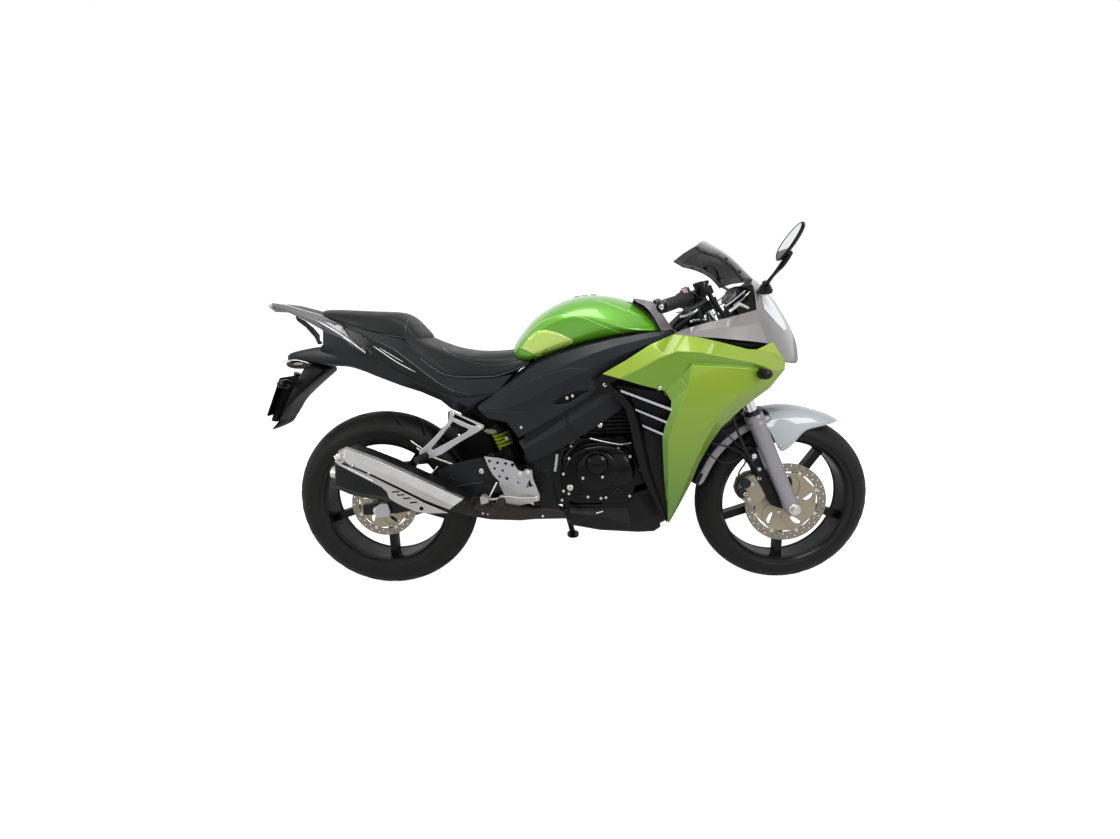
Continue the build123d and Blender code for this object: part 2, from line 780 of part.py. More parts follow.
# Exhaust: the header drops ahead of the engine and runs back under it to the silencer.
pipe_radius = 19
pipe_route = [
    port, port + port_out * 52, (944, -74, 560), (946, -104, 390), (908, -119, 294), (470, -121, 294),
    (384, -136, 316), (336, -164, 352),
]
with BuildPart() as exhaust_pipe:
    with BuildLine() as pipe_line:
        FilletPolyline(*pipe_route, radius=[36, 60, 120, 90, 90, 60])
    with BuildSketch(Plane(origin=pipe_line.line @ 0, z_dir=pipe_line.line % 0)):
        Circle(pipe_radius)
    sweep()

silencer_inner = 128
silencer_outer = 218
silencer_side = [
    (-91, 519), (-66, 545), (-33, 558), (116, 488), (267, 412), (322, 384),
    (306, 352), (268, 337), (198, 333), (151, 341), (59, 377), (-51, 389), (-88, 403), (-102, 446),
]
with BuildPart() as silencer:
    add(slab(silencer_inner, silencer_outer, silencer_side))
    chamfer(silencer.faces().sort_by(Axis.Y)[0].edges(), 16)
    add(rod((-84, -172, 464), (-128, -172, 478), 24))
    add(rod((-80, -172, 462), (-129, -172, 479), 17), mode=Mode.SUBTRACT)
    entry = pipe_line.line @ 1
    add(rod(entry, entry + pipe_line.line % 1 * 34, pipe_radius + 3))

shield_side = [(-72, 520), (-30, 536), (120, 466), (262, 394), (238, 372), (120, 412), (-56, 482)]
with BuildPart() as silencer_shield:
    add(slab(silencer_outer + seat_gap, silencer_outer + seat_gap + 3, shield_side))

# Tank, seats and the covers under them.
with BuildPart() as fuel_tank:
    loft(sections=[loaf(*s) for s in tank_sections], ruled=True)

with BuildPart() as rider_seat:
    loft(sections=[loaf(*s) for s in rider_sections], ruled=True)

with BuildPart() as pillion_seat:
    loft(sections=[loaf(*s) for s in pillion_sections], ruled=True)

cover_inner = 150.3
cover_outer = 168
under_tank = [(s.x, s.sill - 3) for s in reversed(tank_sections) if 500 < s.x < 900]
with BuildPart() as side_covers:
    cover_side = [
        (358, 674), (431, 657), (495, 643), (538, 617), (553, 616), (646, 652), (720, 675), (721, 730),
        (742, 751), (839, 809), (904, 848), (930, 866),
    ]
    cover_side += under_tank + [(493, 763), (429, 739), (372, 737)]
    add(slab(cover_inner, cover_outer, cover_side))
    mirror(about=Plane.XZ)


def cowl_top(sections, x):
    """A point of the tail cowl's upper edge, just below the seat that it carries."""
    return x, sill_at(sections, x) - seat_gap


tail_sections = [
    Section(-272, 62, 850, 66, 858, 872),
    Section(-215, 97, 862, 98, 896, 915),
    Section(-151, 97, 890, 98, 928, 944),
]
with BuildPart() as tail_cowls:
    cowl_side = [(371, 593), (358, 672), (346, 735)]
    cowl_side += [cowl_top(rider_sections, x) for x in (314, 247, 168)]
    cowl_side += [cowl_top(pillion_sections, x) for x in (160, 108, 20, -80)]
    cowl_side += [
        (-117, 936), (-160, 934), (-232, 880), (-204, 841), (-124, 845), (-49, 793), (28, 762), (106, 729),
        (183, 688), (246, 667), (323, 610),
    ]
    add(slab(cowl_inner, cowl_outer, cowl_side))
    mirror(about=Plane.XZ)
    loft(sections=[loaf(*s) for s in tail_sections], ruled=True)

grab_radius = 11
grab_side = cowl_outer + grab_radius + seat_gap
grab_route = [(10, -grab_side, 842), (-165, -grab_side, 938), (-288, -80, 985)]
with BuildPart() as grab_rail:
    for start, end in zip(grab_route, grab_route[1:]):
        add(rod(start, end, grab_radius))
    with Locations(*grab_route):
        Sphere(grab_radius)
    mirror(about=Plane.XZ)
    grab_end = Vector(*grab_route[-1])
    add(rod(grab_end, mirrored(grab_end, -1), grab_radius))

holder_half = 52
with BuildPart() as rear_fender:
    holder_side = [
        (-99, 782), (-155, 746), (-231, 690), (-292, 621), (-353, 587), (-410, 585), (-424, 596), (-335, 742),
        (-306, 778), (-232, 778), (-170, 806), (-99, 818), (60, 771), (236, 707), (234, 699), (60, 763),
        (-60, 800),
    ]
    add(slab(-holder_half, holder_half, holder_side))
    for tray_x in (60, 160):
        tray = rail_at(tray_x)
        reach = rail_spread - rail_radius - seat_gap
        add(rod((tray_x, -reach, tray.Z - 4), (tray_x, reach, tray.Z - 4), 6))

plate_start = Vector(-335, 0, 742)
plate_end = Vector(-424, 0, 596)
plate_down = (plate_end - plate_start).normalized()
plate_back = Vector(plate_down.Z, 0, -plate_down.X)
with BuildPart() as number_plate:
    plate_middle = (plate_start + plate_end) * 0.5 + plate_back * seat_gap
    with BuildSketch(Plane(origin=plate_middle, x_dir=(0, 1, 0), z_dir=plate_back)):
        RectangleRounded(150, 150, 8)
    extrude(amount=2)

lamp_floor = 778 + seat_gap
lamp_sections = [
    Section(-306, 56, 800, 60, 822, 834),
    Section(-275, 72, lamp_floor, 74, 830, 844),
    Section(-233, 74, lamp_floor, 76, 836, 849),
]
with BuildPart() as tail_lamp:
    loft(sections=[loaf(*s) for s in lamp_sections], ruled=True)

# Fairings
with BuildPart() as side_fairings:
    loft(
        sections=[
            skin(v.z, [(v.rear_x, v.rear_y), (v.crease_x, v.crease_y), (v.front_x, v.front_y)])
            for v in fairing_levels
        ],
        ruled=True,
    )
    mirror(about=Plane.XZ)

gill_count = 3
with BuildPart() as inner_panels:
    loft(
        sections=[
            skin(v.z, [(v.panel_x, panel_rear_y), (v.rear_x - seat_gap, v.rear_y)])
            for v in fairing_levels if v.panel_x > 0
        ],
        ruled=True,
    )
    with BuildSketch(right_side.offset(190)):
        for gill in range(gill_count):
            with Locations(Location((846 + gill * 12, 672 - gill * 36), -30)):
                SlotOverall(84 - gill * 12, 12)
    extrude(amount=70, mode=Mode.SUBTRACT)
    mirror(about=Plane.XZ)

Pan = namedtuple("Pan", "x half low high")
pan_sections = [
    Pan(628, 146, 264, 330), Pan(735, 150, 256, 332), Pan(871, 150, 248, 376), Pan(913, 148, 248, 386),
    Pan(952, 144, 266, 300),
]
pan_bolt_x = 700
pan_bolt_z = 323
with BuildPart() as belly_pan:
    wall = panel_thickness
    loft(
        sections=[
            outline(across(p.x), [
                (-p.half, p.high), (-p.half, p.low + 14), (14 - p.half, p.low), (p.half - 14, p.low),
                (p.half, p.low + 14), (p.half, p.high), (p.half - wall, p.high), (p.half - wall, p.low + 15),
                (p.half - 15, p.low + wall), (15 - p.half, p.low + wall), (wall - p.half, p.low + 15),
                (wall - p.half, p.high)])
            for p in pan_sections
        ],
        ruled=True,
    )
    for face in (-block_right - seat_gap, block_left + seat_gap):
        outer = 147 if face > 0 else -147
        add(rod((pan_bolt_x, face, pan_bolt_z), (pan_bolt_x, outer, pan_bolt_z), 6))

# The upper cowl: a hollow nose with walls that run back beside the screen.
nose_sections = [
    Section(1196, 183, 812, 150, 985, 1050),
    Section(1240, 176, 782, 130, 968, 1040),
    Section(1290, 156, 772, 104, 915, 996),
    Section(1340, 118, 764, 76, 860, 940),
    Section(1375, 70, 764, 50, 815, 878),
    Section(1392, 34, 782, 26, 808, 836),
]
Screen = namedtuple("Screen", "x half edge crown")
screen_sections = [
    Screen(1018, 151, 1112, 1144), Screen(1054, 151, 1095, 1155), Screen(1088, 149, 1080, 1155),
    Screen(1171, 138, 1006, 1104), Screen(1238, 112, 982, 1041),
]
lens_side = [
    (1242, 992), (1253, 984), (1285, 954), (1318, 906), (1340, 858), (1322, 862), (1300, 876), (1276, 915),
    (1244, 958),
]
fairing_top = 850 + seat_gap
Wall = namedtuple("Wall", "x low_half low high_half high")
cowl_walls = [
    Wall(954, 219, fairing_top, 206, 871),
    Wall(1030, 215, fairing_top, 200, 900),
    Wall(1114, 201, 830 + seat_gap, 190, 924),
    Wall(1171, 191, 816.5 + seat_gap, 176, 942),
    Wall(1197, 183, 810.4 + seat_gap, 150, 985),
]
cockpit_rim = 4


def nose_body(inset):
    """The nose's closed outer shape, or the hollow inside it when inset is a wall's thickness."""
    shapes = [
        loaf(
            n.x - inset * 1.5, n.sill_half - inset, n.sill + inset,
            n.shoulder_half - inset, n.shoulder, n.crown - inset,
        )
        for n in nose_sections
    ]
    with BuildPart() as part:
        loft(sections=shapes, ruled=True)
    return part.part


def lens_prism():
    """The two lenses' side view, cut through the nose on both sides of its middle ridge."""
    with BuildPart() as part:
        add(slab(16, 150, lens_side))
        mirror(about=Plane.XZ)
    return part.part


def cockpit_opening():
    """The space under the screen, which is cut out of the nose."""
    sides = [(s.x, s.half + cockpit_rim) for s in screen_sections if s.x > 1150]
    with BuildPart() as part:
        with BuildSketch(Plane.XY.offset(930)):
            with BuildLine():
                Polyline(*sides, *((x, -y) for x, y in reversed(sides)), close=True)
            make_face()
        extrude(amount=180)
    return part.part


with BuildPart() as upper_cowl:
    add(nose_body(0))
    add(nose_body(panel_thickness), mode=Mode.SUBTRACT)
    add(cockpit_opening(), mode=Mode.SUBTRACT)
    add(lens_prism(), mode=Mode.SUBTRACT)
    for side in (-1, 1):
        boss_start = (stay_knee[0], side * (stay_half + seat_gap), stay_knee[2])
        add(rod(boss_start, (stay_knee[0], side * 153, stay_knee[2]), 8))
        loft(
            sections=[
                outline(across(w.x), [
                    (side * w.low_half, w.low), (side * w.high_half, w.high),
                    (side * (w.high_half - panel_thickness), w.high),
                    (side * (w.low_half - panel_thickness), w.low)])
                for w in cowl_walls
            ],
            ruled=True,
        )

with BuildPart() as headlamp:
    add(nose_body(0))
    add(lens_prism(), mode=Mode.INTERSECT)


def arch(x, half, edge, crown, thickness):
    """A section of the screen: an arched strip of one thickness."""
    with BuildSketch(across(x)) as shape:
        with BuildLine():
            ThreePointArc((-half, edge), (0, crown), (half, edge))
            Line((half, edge), (half - thickness, edge))
            ThreePointArc((half - thickness, edge), (0, crown - thickness), (thickness - half, edge))
            Line((thickness - half, edge), (-half, edge))
        make_face()
    return shape.sketch


with BuildPart() as windscreen:
    loft(sections=[arch(*s, screen_thickness) for s in screen_sections], ruled=True)

mirror_long = 84
mirror_short = 48
mirror_tilt = radians(24)
with BuildPart() as mirrors:
    mirror_across = (0, -cos(mirror_tilt), sin(mirror_tilt))
    mirror_plane = Plane(origin=(1188, -350, 1108), x_dir=mirror_across, z_dir=(1, 0, 0))
    mirror_foot = Vector(1220, -131, 994.7)
    mirror_neck = (1196, -286, 1084)
    add(rod(mirror_foot, mirror_foot + Vector(0, 0, 12), 6))
    add(rod(mirror_foot + Vector(0, 2, 9), mirror_neck, 7))
    for inset, depth in ((0, 0), (6, 12), (30, 26)):
        with BuildSketch(mirror_plane.offset(depth)):
            Ellipse(mirror_long - inset, mirror_short - inset)
    loft(ruled=True)
    mirror(about=Plane.XZ)

blinker_x = 1196
blinker_z = 748
with BuildPart() as indicators:
    blinker_root = fairing_face(blinker_x, blinker_z) - 2.4
    add(rod((blinker_x, blinker_root, blinker_z), (blinker_x, blinker_root - 20, blinker_z), 7))
    with Locations((blinker_x, blinker_root - 44, blinker_z)):
        Box(62, 54, 26)
    add(rod((-270, -holder_half - seat_gap, 735), (-270, -92, 735), 6))
    with Locations((-270, -116, 735)):
        Box(34, 56, 26)
    mirror(about=Plane.XZ)

with BuildPart() as instruments:
    add(slab(-72, 72, [(1168, instrument_floor), (1204, instrument_floor), (1212, 998), (1182, 1008)]))

pillion_peg_radius = 11
pillion_peg_length = 78
with BuildPart() as pillion_brackets:
    bracket = [(272, 652), (292, 655), (374, 600), (372, 588), (232, 506), (202, 506), (189, 530)]
    add(slab(cowl_outer + seat_gap, cowl_outer + 10, bracket))
    window = [(276, 626), (300, 634), (346, 600), (236, 532), (224, 534)]
    add(slab(cowl_outer - 2, cowl_outer + 12, window), mode=Mode.SUBTRACT)
    add(rod((206, -cowl_outer - 6, 516), (206, -cowl_outer - pillion_peg_length, 516), pillion_peg_radius))
    mirror(about=Plane.XZ)

footpeg_radius = 12
footpeg_length = 110
with BuildPart() as rider_footrests:
    rest_inner = plate_outer + seat_gap
    rest_side = [
        (377, 511), (442, 503), (472, 489), (518, 463), (566, 356), (548, 338), (483, 362), (408, 440),
    ]
    add(slab(rest_inner, rest_inner + 8, rest_side))
    add(rod((472, -rest_inner - 6, 390), (472, -rest_inner - footpeg_length, 390), footpeg_radius))
    mirror(about=Plane.XZ)

# Side stand: a clevis block on the left pivot plate and a leg down to a pad on the floor.
with BuildPart() as side_stand:
    with BuildSketch(Plane(origin=foot_bottom, z_dir=floor_up)):
        Circle(stand_pad_radius)
    extrude(amount=stand_pad_thickness)
    add(rod(foot_top - floor_up * 2, stand_top, stand_leg_radius))
    add(rod(stand_top - stand_axis * 14, stand_top + stand_axis * 14, 17))
    pin_hole_radius = stand_pin_radius + bearing_clearance
    add(rod(stand_top - stand_axis * 15, stand_top + stand_axis * 15, pin_hole_radius), mode=Mode.SUBTRACT)

pieces = {
    "frame": frame, "swingarm": swingarm, "engine_block": engine_block, "cylinder": cylinder,
    "engine_covers": engine_covers, "radiator": radiator, "exhaust_pipe": exhaust_pipe, "silencer": silencer,
    "silencer_shield": silencer_shield, "fuel_tank": fuel_tank, "side_covers": side_covers,
    "rider_seat": rider_seat, "pillion_seat": pillion_seat, "tail_cowls": tail_cowls, "grab_rail": grab_rail,
    "rear_fender": rear_fender, "number_plate": number_plate, "tail_lamp": tail_lamp,
    "indicators": indicators, "side_fairings": side_fairings, "inner_panels": inner_panels,
    "belly_pan": belly_pan,
    "upper_cowl": upper_cowl, "headlamp": headlamp, "windscreen": windscreen, "mirrors": mirrors,
    "instruments": instruments, "rear_shock": rear_shock, "pillion_brackets": pillion_brackets,
    "rider_footrests": rider_footrests, "chain": chain, "chain_guard": chain_guard, "rear_axle": rear_axle,
    "fork_legs": fork_legs, "fork_yokes": fork_yokes, "handlebars": handlebars, "grips": grips,
    "front_fender": front_fender, "front_axle": front_axle, "front_caliper": front_caliper,
    "brake_hose": brake_hose, "front_tyre": front_tyre, "front_rim": front_rim, "front_disc": front_disc,
    "rear_tyre": rear_tyre, "rear_rim": rear_rim, "rear_disc": rear_disc, "rear_sprocket": rear_sprocket,
    "side_stand": side_stand,
}

# Lean the bike onto its stand and put the middle of its floor print at the origin.
leaned = {name: piece.part.rotate(Axis.X, -lean) for name, piece in pieces.items()}
corners = [shape.bounding_box() for shape in leaned.values()]
low = [min(getattr(box.min, axis) for box in corners) for axis in "XYZ"]
high = [max(getattr(box.max, axis) for box in corners) for axis in "XYZ"]
shift = Vector(-(low[0] + high[0]) / 2, -(low[1] + high[1]) / 2, -low[2])


os.makedirs("parts", exist_ok=True)
for name, shape in leaned.items():
    placed = shape.moved(Location(shift))
    placed.label = name
    export_step(placed, f"parts/{name}.step")
print("length, width and height:", [round(b - a, 1) for a, b in zip(low, high)])
print("shift:", shift)
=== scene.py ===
# %% [markdown]
# # A faired sport motorcycle on its side stand
# The CAD model gives the real sizes, the joints and the collision. This script gives each piece the
# skin that the eye meets: crowned panels, seams, tread, bolts and finishes. All points are written
# for the upright bike in millimetres, X forward, Y to the rider's left and Z up, with the origin on
# the ground under the rear axle. One matrix leans them onto the side stand.

# %% The frame and the box that it fills
from math import cos, hypot, pi, radians, sin

import bmesh
import bpy
from mathutils import Matrix, Vector


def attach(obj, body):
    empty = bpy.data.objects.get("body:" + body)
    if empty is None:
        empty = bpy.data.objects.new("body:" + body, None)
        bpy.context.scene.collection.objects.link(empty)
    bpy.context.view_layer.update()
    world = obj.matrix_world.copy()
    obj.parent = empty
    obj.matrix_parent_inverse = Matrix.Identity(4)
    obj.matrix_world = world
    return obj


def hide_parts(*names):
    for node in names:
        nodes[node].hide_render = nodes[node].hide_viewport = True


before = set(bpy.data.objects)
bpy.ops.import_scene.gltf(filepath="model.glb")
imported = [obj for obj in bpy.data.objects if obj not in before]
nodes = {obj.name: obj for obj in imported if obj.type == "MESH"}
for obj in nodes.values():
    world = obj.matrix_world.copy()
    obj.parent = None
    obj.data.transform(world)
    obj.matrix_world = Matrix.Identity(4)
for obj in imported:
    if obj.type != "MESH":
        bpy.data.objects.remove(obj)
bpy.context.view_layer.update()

# %% [markdown]
# The bike leans 10 degrees to its left on the stand. The same rotation and shift place every point
# that is written for the upright bike.

# %% From the upright bike to the parked one
LEAN = radians(10)
# Distances in millimetres: between the axles, up to each axle, and from the middle to a fork leg
WHEELBASE, FRONT_AXLE_UP, REAR_AXLE_UP, FORK_OUT = 1370, 293, 314, 100
# Directions out of the bike's sides
RIGHT, LEFT = (0, -1, 0), (0, 1, 0)
parked = (
    Matrix.Translation((-0.6195, -0.19625, 0.001037))
    @ Matrix.Rotation(-LEAN, 4, "X")
    @ Matrix.Scale(0.001, 4)
)
print("rear axle is at", tuple(round(v, 4) for v in parked @ Vector((0, 0, REAR_AXLE_UP))))

# %% [markdown]
# Every mesh piece is made by one function: it takes points and faces, can mirror them to the left
# side, gives them a wall, rounds their edges and ties them to the body that they move with.

# %% Making a mesh piece
def piece(name, points, faces, finish, body="chassis", hides=(), wall=0, levels=0, bevel=0,
        sharp=35,
          both=False, inward=False):
    """A mesh from upright points; wall and bevel are in millimetres too, and levels subdivide."""
    points = [Vector(p) for p in points]
    faces = [tuple(f) for f in faces]
    if both:
        count = len(points)
        points += [Vector((p.x, -p.y, p.z)) for p in points]
        faces += [tuple(count + i for i in reversed(f)) for f in faces]
    mesh = bpy.data.meshes.new(name)
    mesh.from_pydata([parked @ p for p in points], [], faces)
    shape = bmesh.new()
    shape.from_mesh(mesh)
    bmesh.ops.remove_doubles(shape, verts=shape.verts, dist=1e-6)
    bmesh.ops.recalc_face_normals(shape, faces=shape.faces)
    if inward:
        bmesh.ops.reverse_faces(shape, faces=shape.faces)
    shape.to_mesh(mesh)
    shape.free()
    thing = bpy.data.objects.new(name, mesh)
    bpy.context.collection.objects.link(thing)
    if wall:
        skin = thing.modifiers.new("wall", "SOLIDIFY")
        skin.thickness, skin.offset, skin.use_even_offset = wall / 1000, -1, True
    if levels:
        smooth = thing.modifiers.new("crown", "SUBSURF")
        smooth.levels = smooth.render_levels = levels
    if bevel:
        edge = thing.modifiers.new("edges", "BEVEL")
        edge.width, edge.segments, edge.limit_method = bevel / 1000, 2, "ANGLE"
        edge.angle_limit, edge.harden_normals = radians(sharp), True
    mesh.shade_smooth()
    if not bevel:
        mesh.set_sharp_from_angle(angle=radians(sharp))
    mesh.materials.append(finish)
    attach(thing, body)
    for node in hides:
        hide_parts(node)
    return thing


# %% [markdown]
# Most forms on a motorcycle are lofts (a tank), plates (a bracket), turned parts (an axle cap) or
# swept tubes (a cable). Each of these has one small function.

# %% Lofts, plates, turned parts and tubes
def loft(name, rings, finish, closed=True, caps=True, **more):
    """Faces between rings of points that all have the same count."""
    count = len(rings[0])
    points = [p for ring in rings for p in ring]
    faces = []
    for r in range(len(rings) - 1):
        for i in range(count if closed else count - 1):
            a, b = r * count + i, r * count + (i + 1) % count
            faces.append((a, b, b + count, a + count))
    if closed and caps:
        faces.append(tuple(range(count)))
        faces.append(tuple(range(len(points) - count, len(points))))
    return piece(name, points, faces, finish, **more)


def flat_fill(outline, holes=()):
    """Triangles over a flat outline with holes in it; gives the points and the faces."""
    shape = bmesh.new()
    for ring in (outline, *holes):
        corners = [shape.verts.new((x, z, 0)) for x, z in ring]
        for a, b in zip(corners, corners[1:] + corners[:1]):
            shape.edges.new((a, b))
    bmesh.ops.triangle_fill(shape, use_beauty=True, use_dissolve=False, edges=shape.edges[:])
    shape.verts.index_update()
    points = [(v.co.x, v.co.y) for v in shape.verts]
    faces = [tuple(v.index for v in f.verts) for f in shape.faces]
    shape.free()
    return points, faces


def plate(name, outline, near, far, finish, holes=(), **more):
    """A plate between two distances from the middle plane, from its side view."""
    points, faces = flat_fill(outline, holes)
    count = len(points)
    solid = [(x, near, z) for x, z in points] + [(x, far, z) for x, z in points]
    sides = []
    start = 0
    for ring in (outline, *holes):
        n = len(ring)
        sides += [(start + i, start + (i + 1) % n, start + (i + 1) % n + count, start + i + count)
            for i in range(n)]
        start += n
    faces = faces + [tuple(count + i for i in f) for f in faces] + sides
    return piece(name, solid, faces, finish, **more)


def circle(x, z, radius, steps=20):
    """A round outline in the side view."""
    return [(x + radius * cos(2 * pi * i / steps), z + radius * sin(2 * pi * i / steps))
        for i in range(steps)]


def turned_faces(centre, axis, profile, steps=48):
    """Points and faces of a shape turned about an axis; profile rows are (along, radius)."""
    axis = Vector(axis).normalized()
    side = axis.orthogonal().normalized()
    up = axis.cross(side)
    points, faces = [], []
    for along, radius in profile:
        for s in range(steps):
            turn = 2 * pi * s / steps
            points.append(Vector(centre) + axis * along + (side * cos(turn)
                + up * sin(turn)) * radius)
    for r in range(len(profile) - 1):
        for s in range(steps):
            a, b = r * steps + s, r * steps + (s + 1) % steps
            faces.append((a, b, b + steps, a + steps))
    return points, faces


def turned(name, centre, axis, profile, finish, steps=48, **more):
    """One turned part. A profile that starts and ends at radius 0 is closed."""
    points, faces = turned_faces(centre, axis, profile, steps)
    return piece(name, points, faces, finish, **more)


def join_shapes(shapes):
    """Several (points, faces) as one."""
    points, faces = [], []
    for more_points, more_faces in shapes:
        faces += [tuple(i + len(points) for i in f) for f in more_faces]
        points += list(more_points)
    return points, faces


def tube(name, route, radius, finish, body="chassis", hides=(), both=False, taper=None,
        straight=False):
    """A round tube along a smooth line through upright points."""
    line = bpy.data.curves.new(name, "CURVE")
    line.dimensions, line.bevel_depth, line.bevel_resolution = "3D", radius / 1000, 4
    line.use_fill_caps, line.resolution_u = True, 8
    routes = [route] + ([[(x, -y, z) for x, y, z in route]] if both else [])
    for points in routes:
        spline = line.splines.new("POLY" if straight else "NURBS")
        spline.points.add(len(points) - 1)
        for i, (knot, p) in enumerate(zip(spline.points, points)):
            knot.co = (*(parked @ Vector(p)), 1)
            knot.radius = taper[i] if taper else 1
        if not straight:
            spline.order_u, spline.use_endpoint_u = 3, True
    thing = bpy.data.objects.new(name, line)
    bpy.context.collection.objects.link(thing)
    line.materials.append(finish)
    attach(thing, body)
    for node in hides:
        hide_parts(node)
    return thing


def bolts(name, places, finish, body="chassis", radius=5, height=4, both=False):
    """Socket screws: places are (point, direction) pairs."""
    profile = [
        (-1, 0), (-1, radius), (height * 0.75, radius), (height, radius * 0.8),
        (height, radius * 0.5),
        (height * 0.45, radius * 0.48), (height * 0.45, 0),
    ]
    shapes = [turned_faces(point, direction, profile, 14) for point, direction in places]
    return piece(name, *join_shapes(shapes), finish, body=body, both=both)


print("helpers are ready")
# %% [markdown]
# # Finishes
# Colours are written as sRGB hex values, as they are read from a photo, and turned to linear ones.
# A small function adds one node with its settings and links.

# %% Colour and node helpers
def linear(code):
    """The linear colour of an sRGB hex value."""
    parts = [int(code[i:i + 2], 16) / 255 for i in (1, 3, 5)]
    return tuple(c / 12.92 if c <= 0.04045 else ((c + 0.055) / 1.055) ** 2.4 for c in parts) + (1,)


def add_node(tree, kind, inputs=None, **settings):
    """One node with its own settings; inputs are values or the outputs that feed them."""
    node = tree.nodes.new(kind)
    for name, value in settings.items():
        setattr(node, name, value)
    for name, value in (inputs or {}).items():
        if isinstance(value, bpy.types.NodeSocket):
            tree.links.new(value, node.inputs[name])
        else:
            node.inputs[name].default_value = value
    return node


def finish(name, base, **sockets):
    """A material with a Principled shader whose constant sockets are set directly."""
    material = bpy.data.materials.new(name)
    material.use_nodes = True
    shader = material.node_tree.nodes["Principled BSDF"]
    shader.inputs["Base Color"].default_value = linear(base)
    for socket, value in sockets.items():
        shader.inputs[socket.replace("_", " ")].default_value = value
    material.diffuse_color = linear(base)
    return material, material.node_tree, shader


def position(tree, scale=(1, 1, 1)):
    """Object coordinates in metres, stretched by a scale."""
    where = add_node(tree, "ShaderNodeTexCoord")
    return add_node(tree, "ShaderNodeMapping", {"Vector": where.outputs["Object"],
        "Scale": scale}).outputs[0]


def grain(tree, shader, size_mm, depth_mm, strength=1.0, detail=3.0, kind="ShaderNodeTexNoise",
        stretch=(1, 1, 1)):
    """A bump of one size: the texture's scale comes from the grain's size in millimetres."""
    place = position(tree, stretch)
    pattern = add_node(tree, kind, {"Vector": place, "Scale": 1000 / size_mm})
    if "Detail" in pattern.inputs:
        pattern.inputs["Detail"].default_value = detail
    height = pattern.outputs["Distance" if kind == "ShaderNodeTexVoronoi" else "Fac"]
    bump = add_node(tree, "ShaderNodeBump", {"Height": height, "Strength": strength,
        "Distance": depth_mm / 1000})
    tree.links.new(bump.outputs["Normal"], shader.inputs["Normal"])
    return pattern


def mottle(tree, shader, low, high, size_mm, socket="Roughness", detail=4.0):
    """A slow change of a value or colour between low and high."""
    noise = add_node(tree, "ShaderNodeTexNoise", {"Vector": position(tree), "Scale": 1000 / size_mm,
        "Detail": detail})
    ramp = add_node(tree, "ShaderNodeValToRGB", {"Fac": noise.outputs["Fac"]})
    ends = ramp.color_ramp.elements
    ends[0].position, ends[1].position = 0.35, 0.65
    ends[0].color = linear(low) if isinstance(low, str) else (low, low, low, 1)
    ends[1].color = linear(high) if isinstance(high, str) else (high, high, high, 1)
    tree.links.new(ramp.outputs["Color"], shader.inputs[socket])
    return ramp


# %% [markdown]
# **Painted ABS panels.** The panels are moulded ABS with a metallic base coat under clear lacquer.
# The flakes give a faint sparkle, and the lacquer gives sharp reflections over a softer sheen. The
# flakes are drawn about 1.2 mm across, since real ones are too fine to show. The silver paint is
# duller than the others, so that a lamp's reflection in the front fender hardly clips.

# %% Lacquered metallic paint
FLAKE_MM = 1.2
# The lime colour darkens downward between these two heights, in metres: mostly painted shade for
# light from above
FOOT_M, SHOULDER_M = 0.28, 0.82


def lacquer(name, light, dark, flake=0.5, metallic=0.35, rough=0.34):
    material, tree, shader = finish(name, light, Metallic=metallic, Coat_Weight=1.0,
        Coat_Roughness=0.04)
    mottle(tree, shader, dark, light, 900, "Base Color", 1.0)
    flakes = add_node(tree, "ShaderNodeTexVoronoi", {"Vector": position(tree),
        "Scale": 1000 / FLAKE_MM})
    tone = add_node(tree, "ShaderNodeMapRange", {
        "Value": flakes.outputs["Distance"], "From Min": 0.0, "From Max": 1.0,
        "To Min": rough - 0.06 * flake, "To Max": rough + 0.12 * flake})
    tree.links.new(tone.outputs[0], shader.inputs["Roughness"])
    return material


def lime(name, high, low):
    """Lime lacquer drawn darker from the top of the fairing to its foot: mostly painted shade for
    light from above.
    """
    material, tree, shader = finish(name, high, Metallic=0.3, Coat_Weight=0.7, Coat_Roughness=0.04)
    where = add_node(tree, "ShaderNodeTexCoord")
    split = add_node(tree, "ShaderNodeSeparateXYZ", {"Vector": where.outputs["Object"]})
    height = add_node(tree, "ShaderNodeMapRange", {"Value": split.outputs["Z"], "From Min": FOOT_M,
        "From Max": SHOULDER_M})
    blend = add_node(tree, "ShaderNodeMix", {0: height.outputs[0]}, data_type="RGBA")
    blend.inputs["A"].default_value, blend.inputs["B"].default_value = linear(low), linear(high)
    tree.links.new(blend.outputs["Result"], shader.inputs["Base Color"])
    flakes = add_node(tree, "ShaderNodeTexVoronoi", {"Vector": position(tree),
        "Scale": 1000 / FLAKE_MM})
    tone = add_node(tree, "ShaderNodeMapRange", {"Value": flakes.outputs["Distance"], "To Min": 0.3,
        "To Max": 0.42})
    tree.links.new(tone.outputs[0], shader.inputs["Roughness"])
    return material


lime_lacquer = lime("lime lacquer on ABS", "#86a31a", "#3a6a08")
# A lighter copy of the lime lacquer: a painted highlight for faces that turn up to the light
lit_lime = lime("lit lime lacquer on ABS", "#95ae33", "#7a9a25")
tank_lacquer = lacquer("green lacquer on steel", "#66b11a", "#57a010")
# A darker copy of the lime lacquer: painted shade for faces that turn down or back
shaded_lime = lime("shaded lime lacquer on ABS", "#6c9216", "#356607")
shield_lacquer = lacquer("pale green lacquer", "#c6e06c", "#b9d65f")
grey_lacquer = lacquer("warm grey lacquer on ABS", "#7d7a79", "#726f6e")
rail_grey = lacquer("dark grey lacquer on aluminium", "#6f6d6f", "#636264", metallic=0.5)
silver_lacquer = lacquer("silver lacquer on ABS", "#a8aeb3", "#9ca2a7", metallic=0.2, rough=0.55)
print("painted finishes are ready")

# %% [markdown]
# **Moulded plastic, rubber and vinyl.** Inner panels are black polypropylene with a spark-eroded
# grain of about 1 mm. The seat cover is vinyl with a leather-like grain of 2 mm. Tyres are dull
# and slightly brown, and grips are softer rubber.

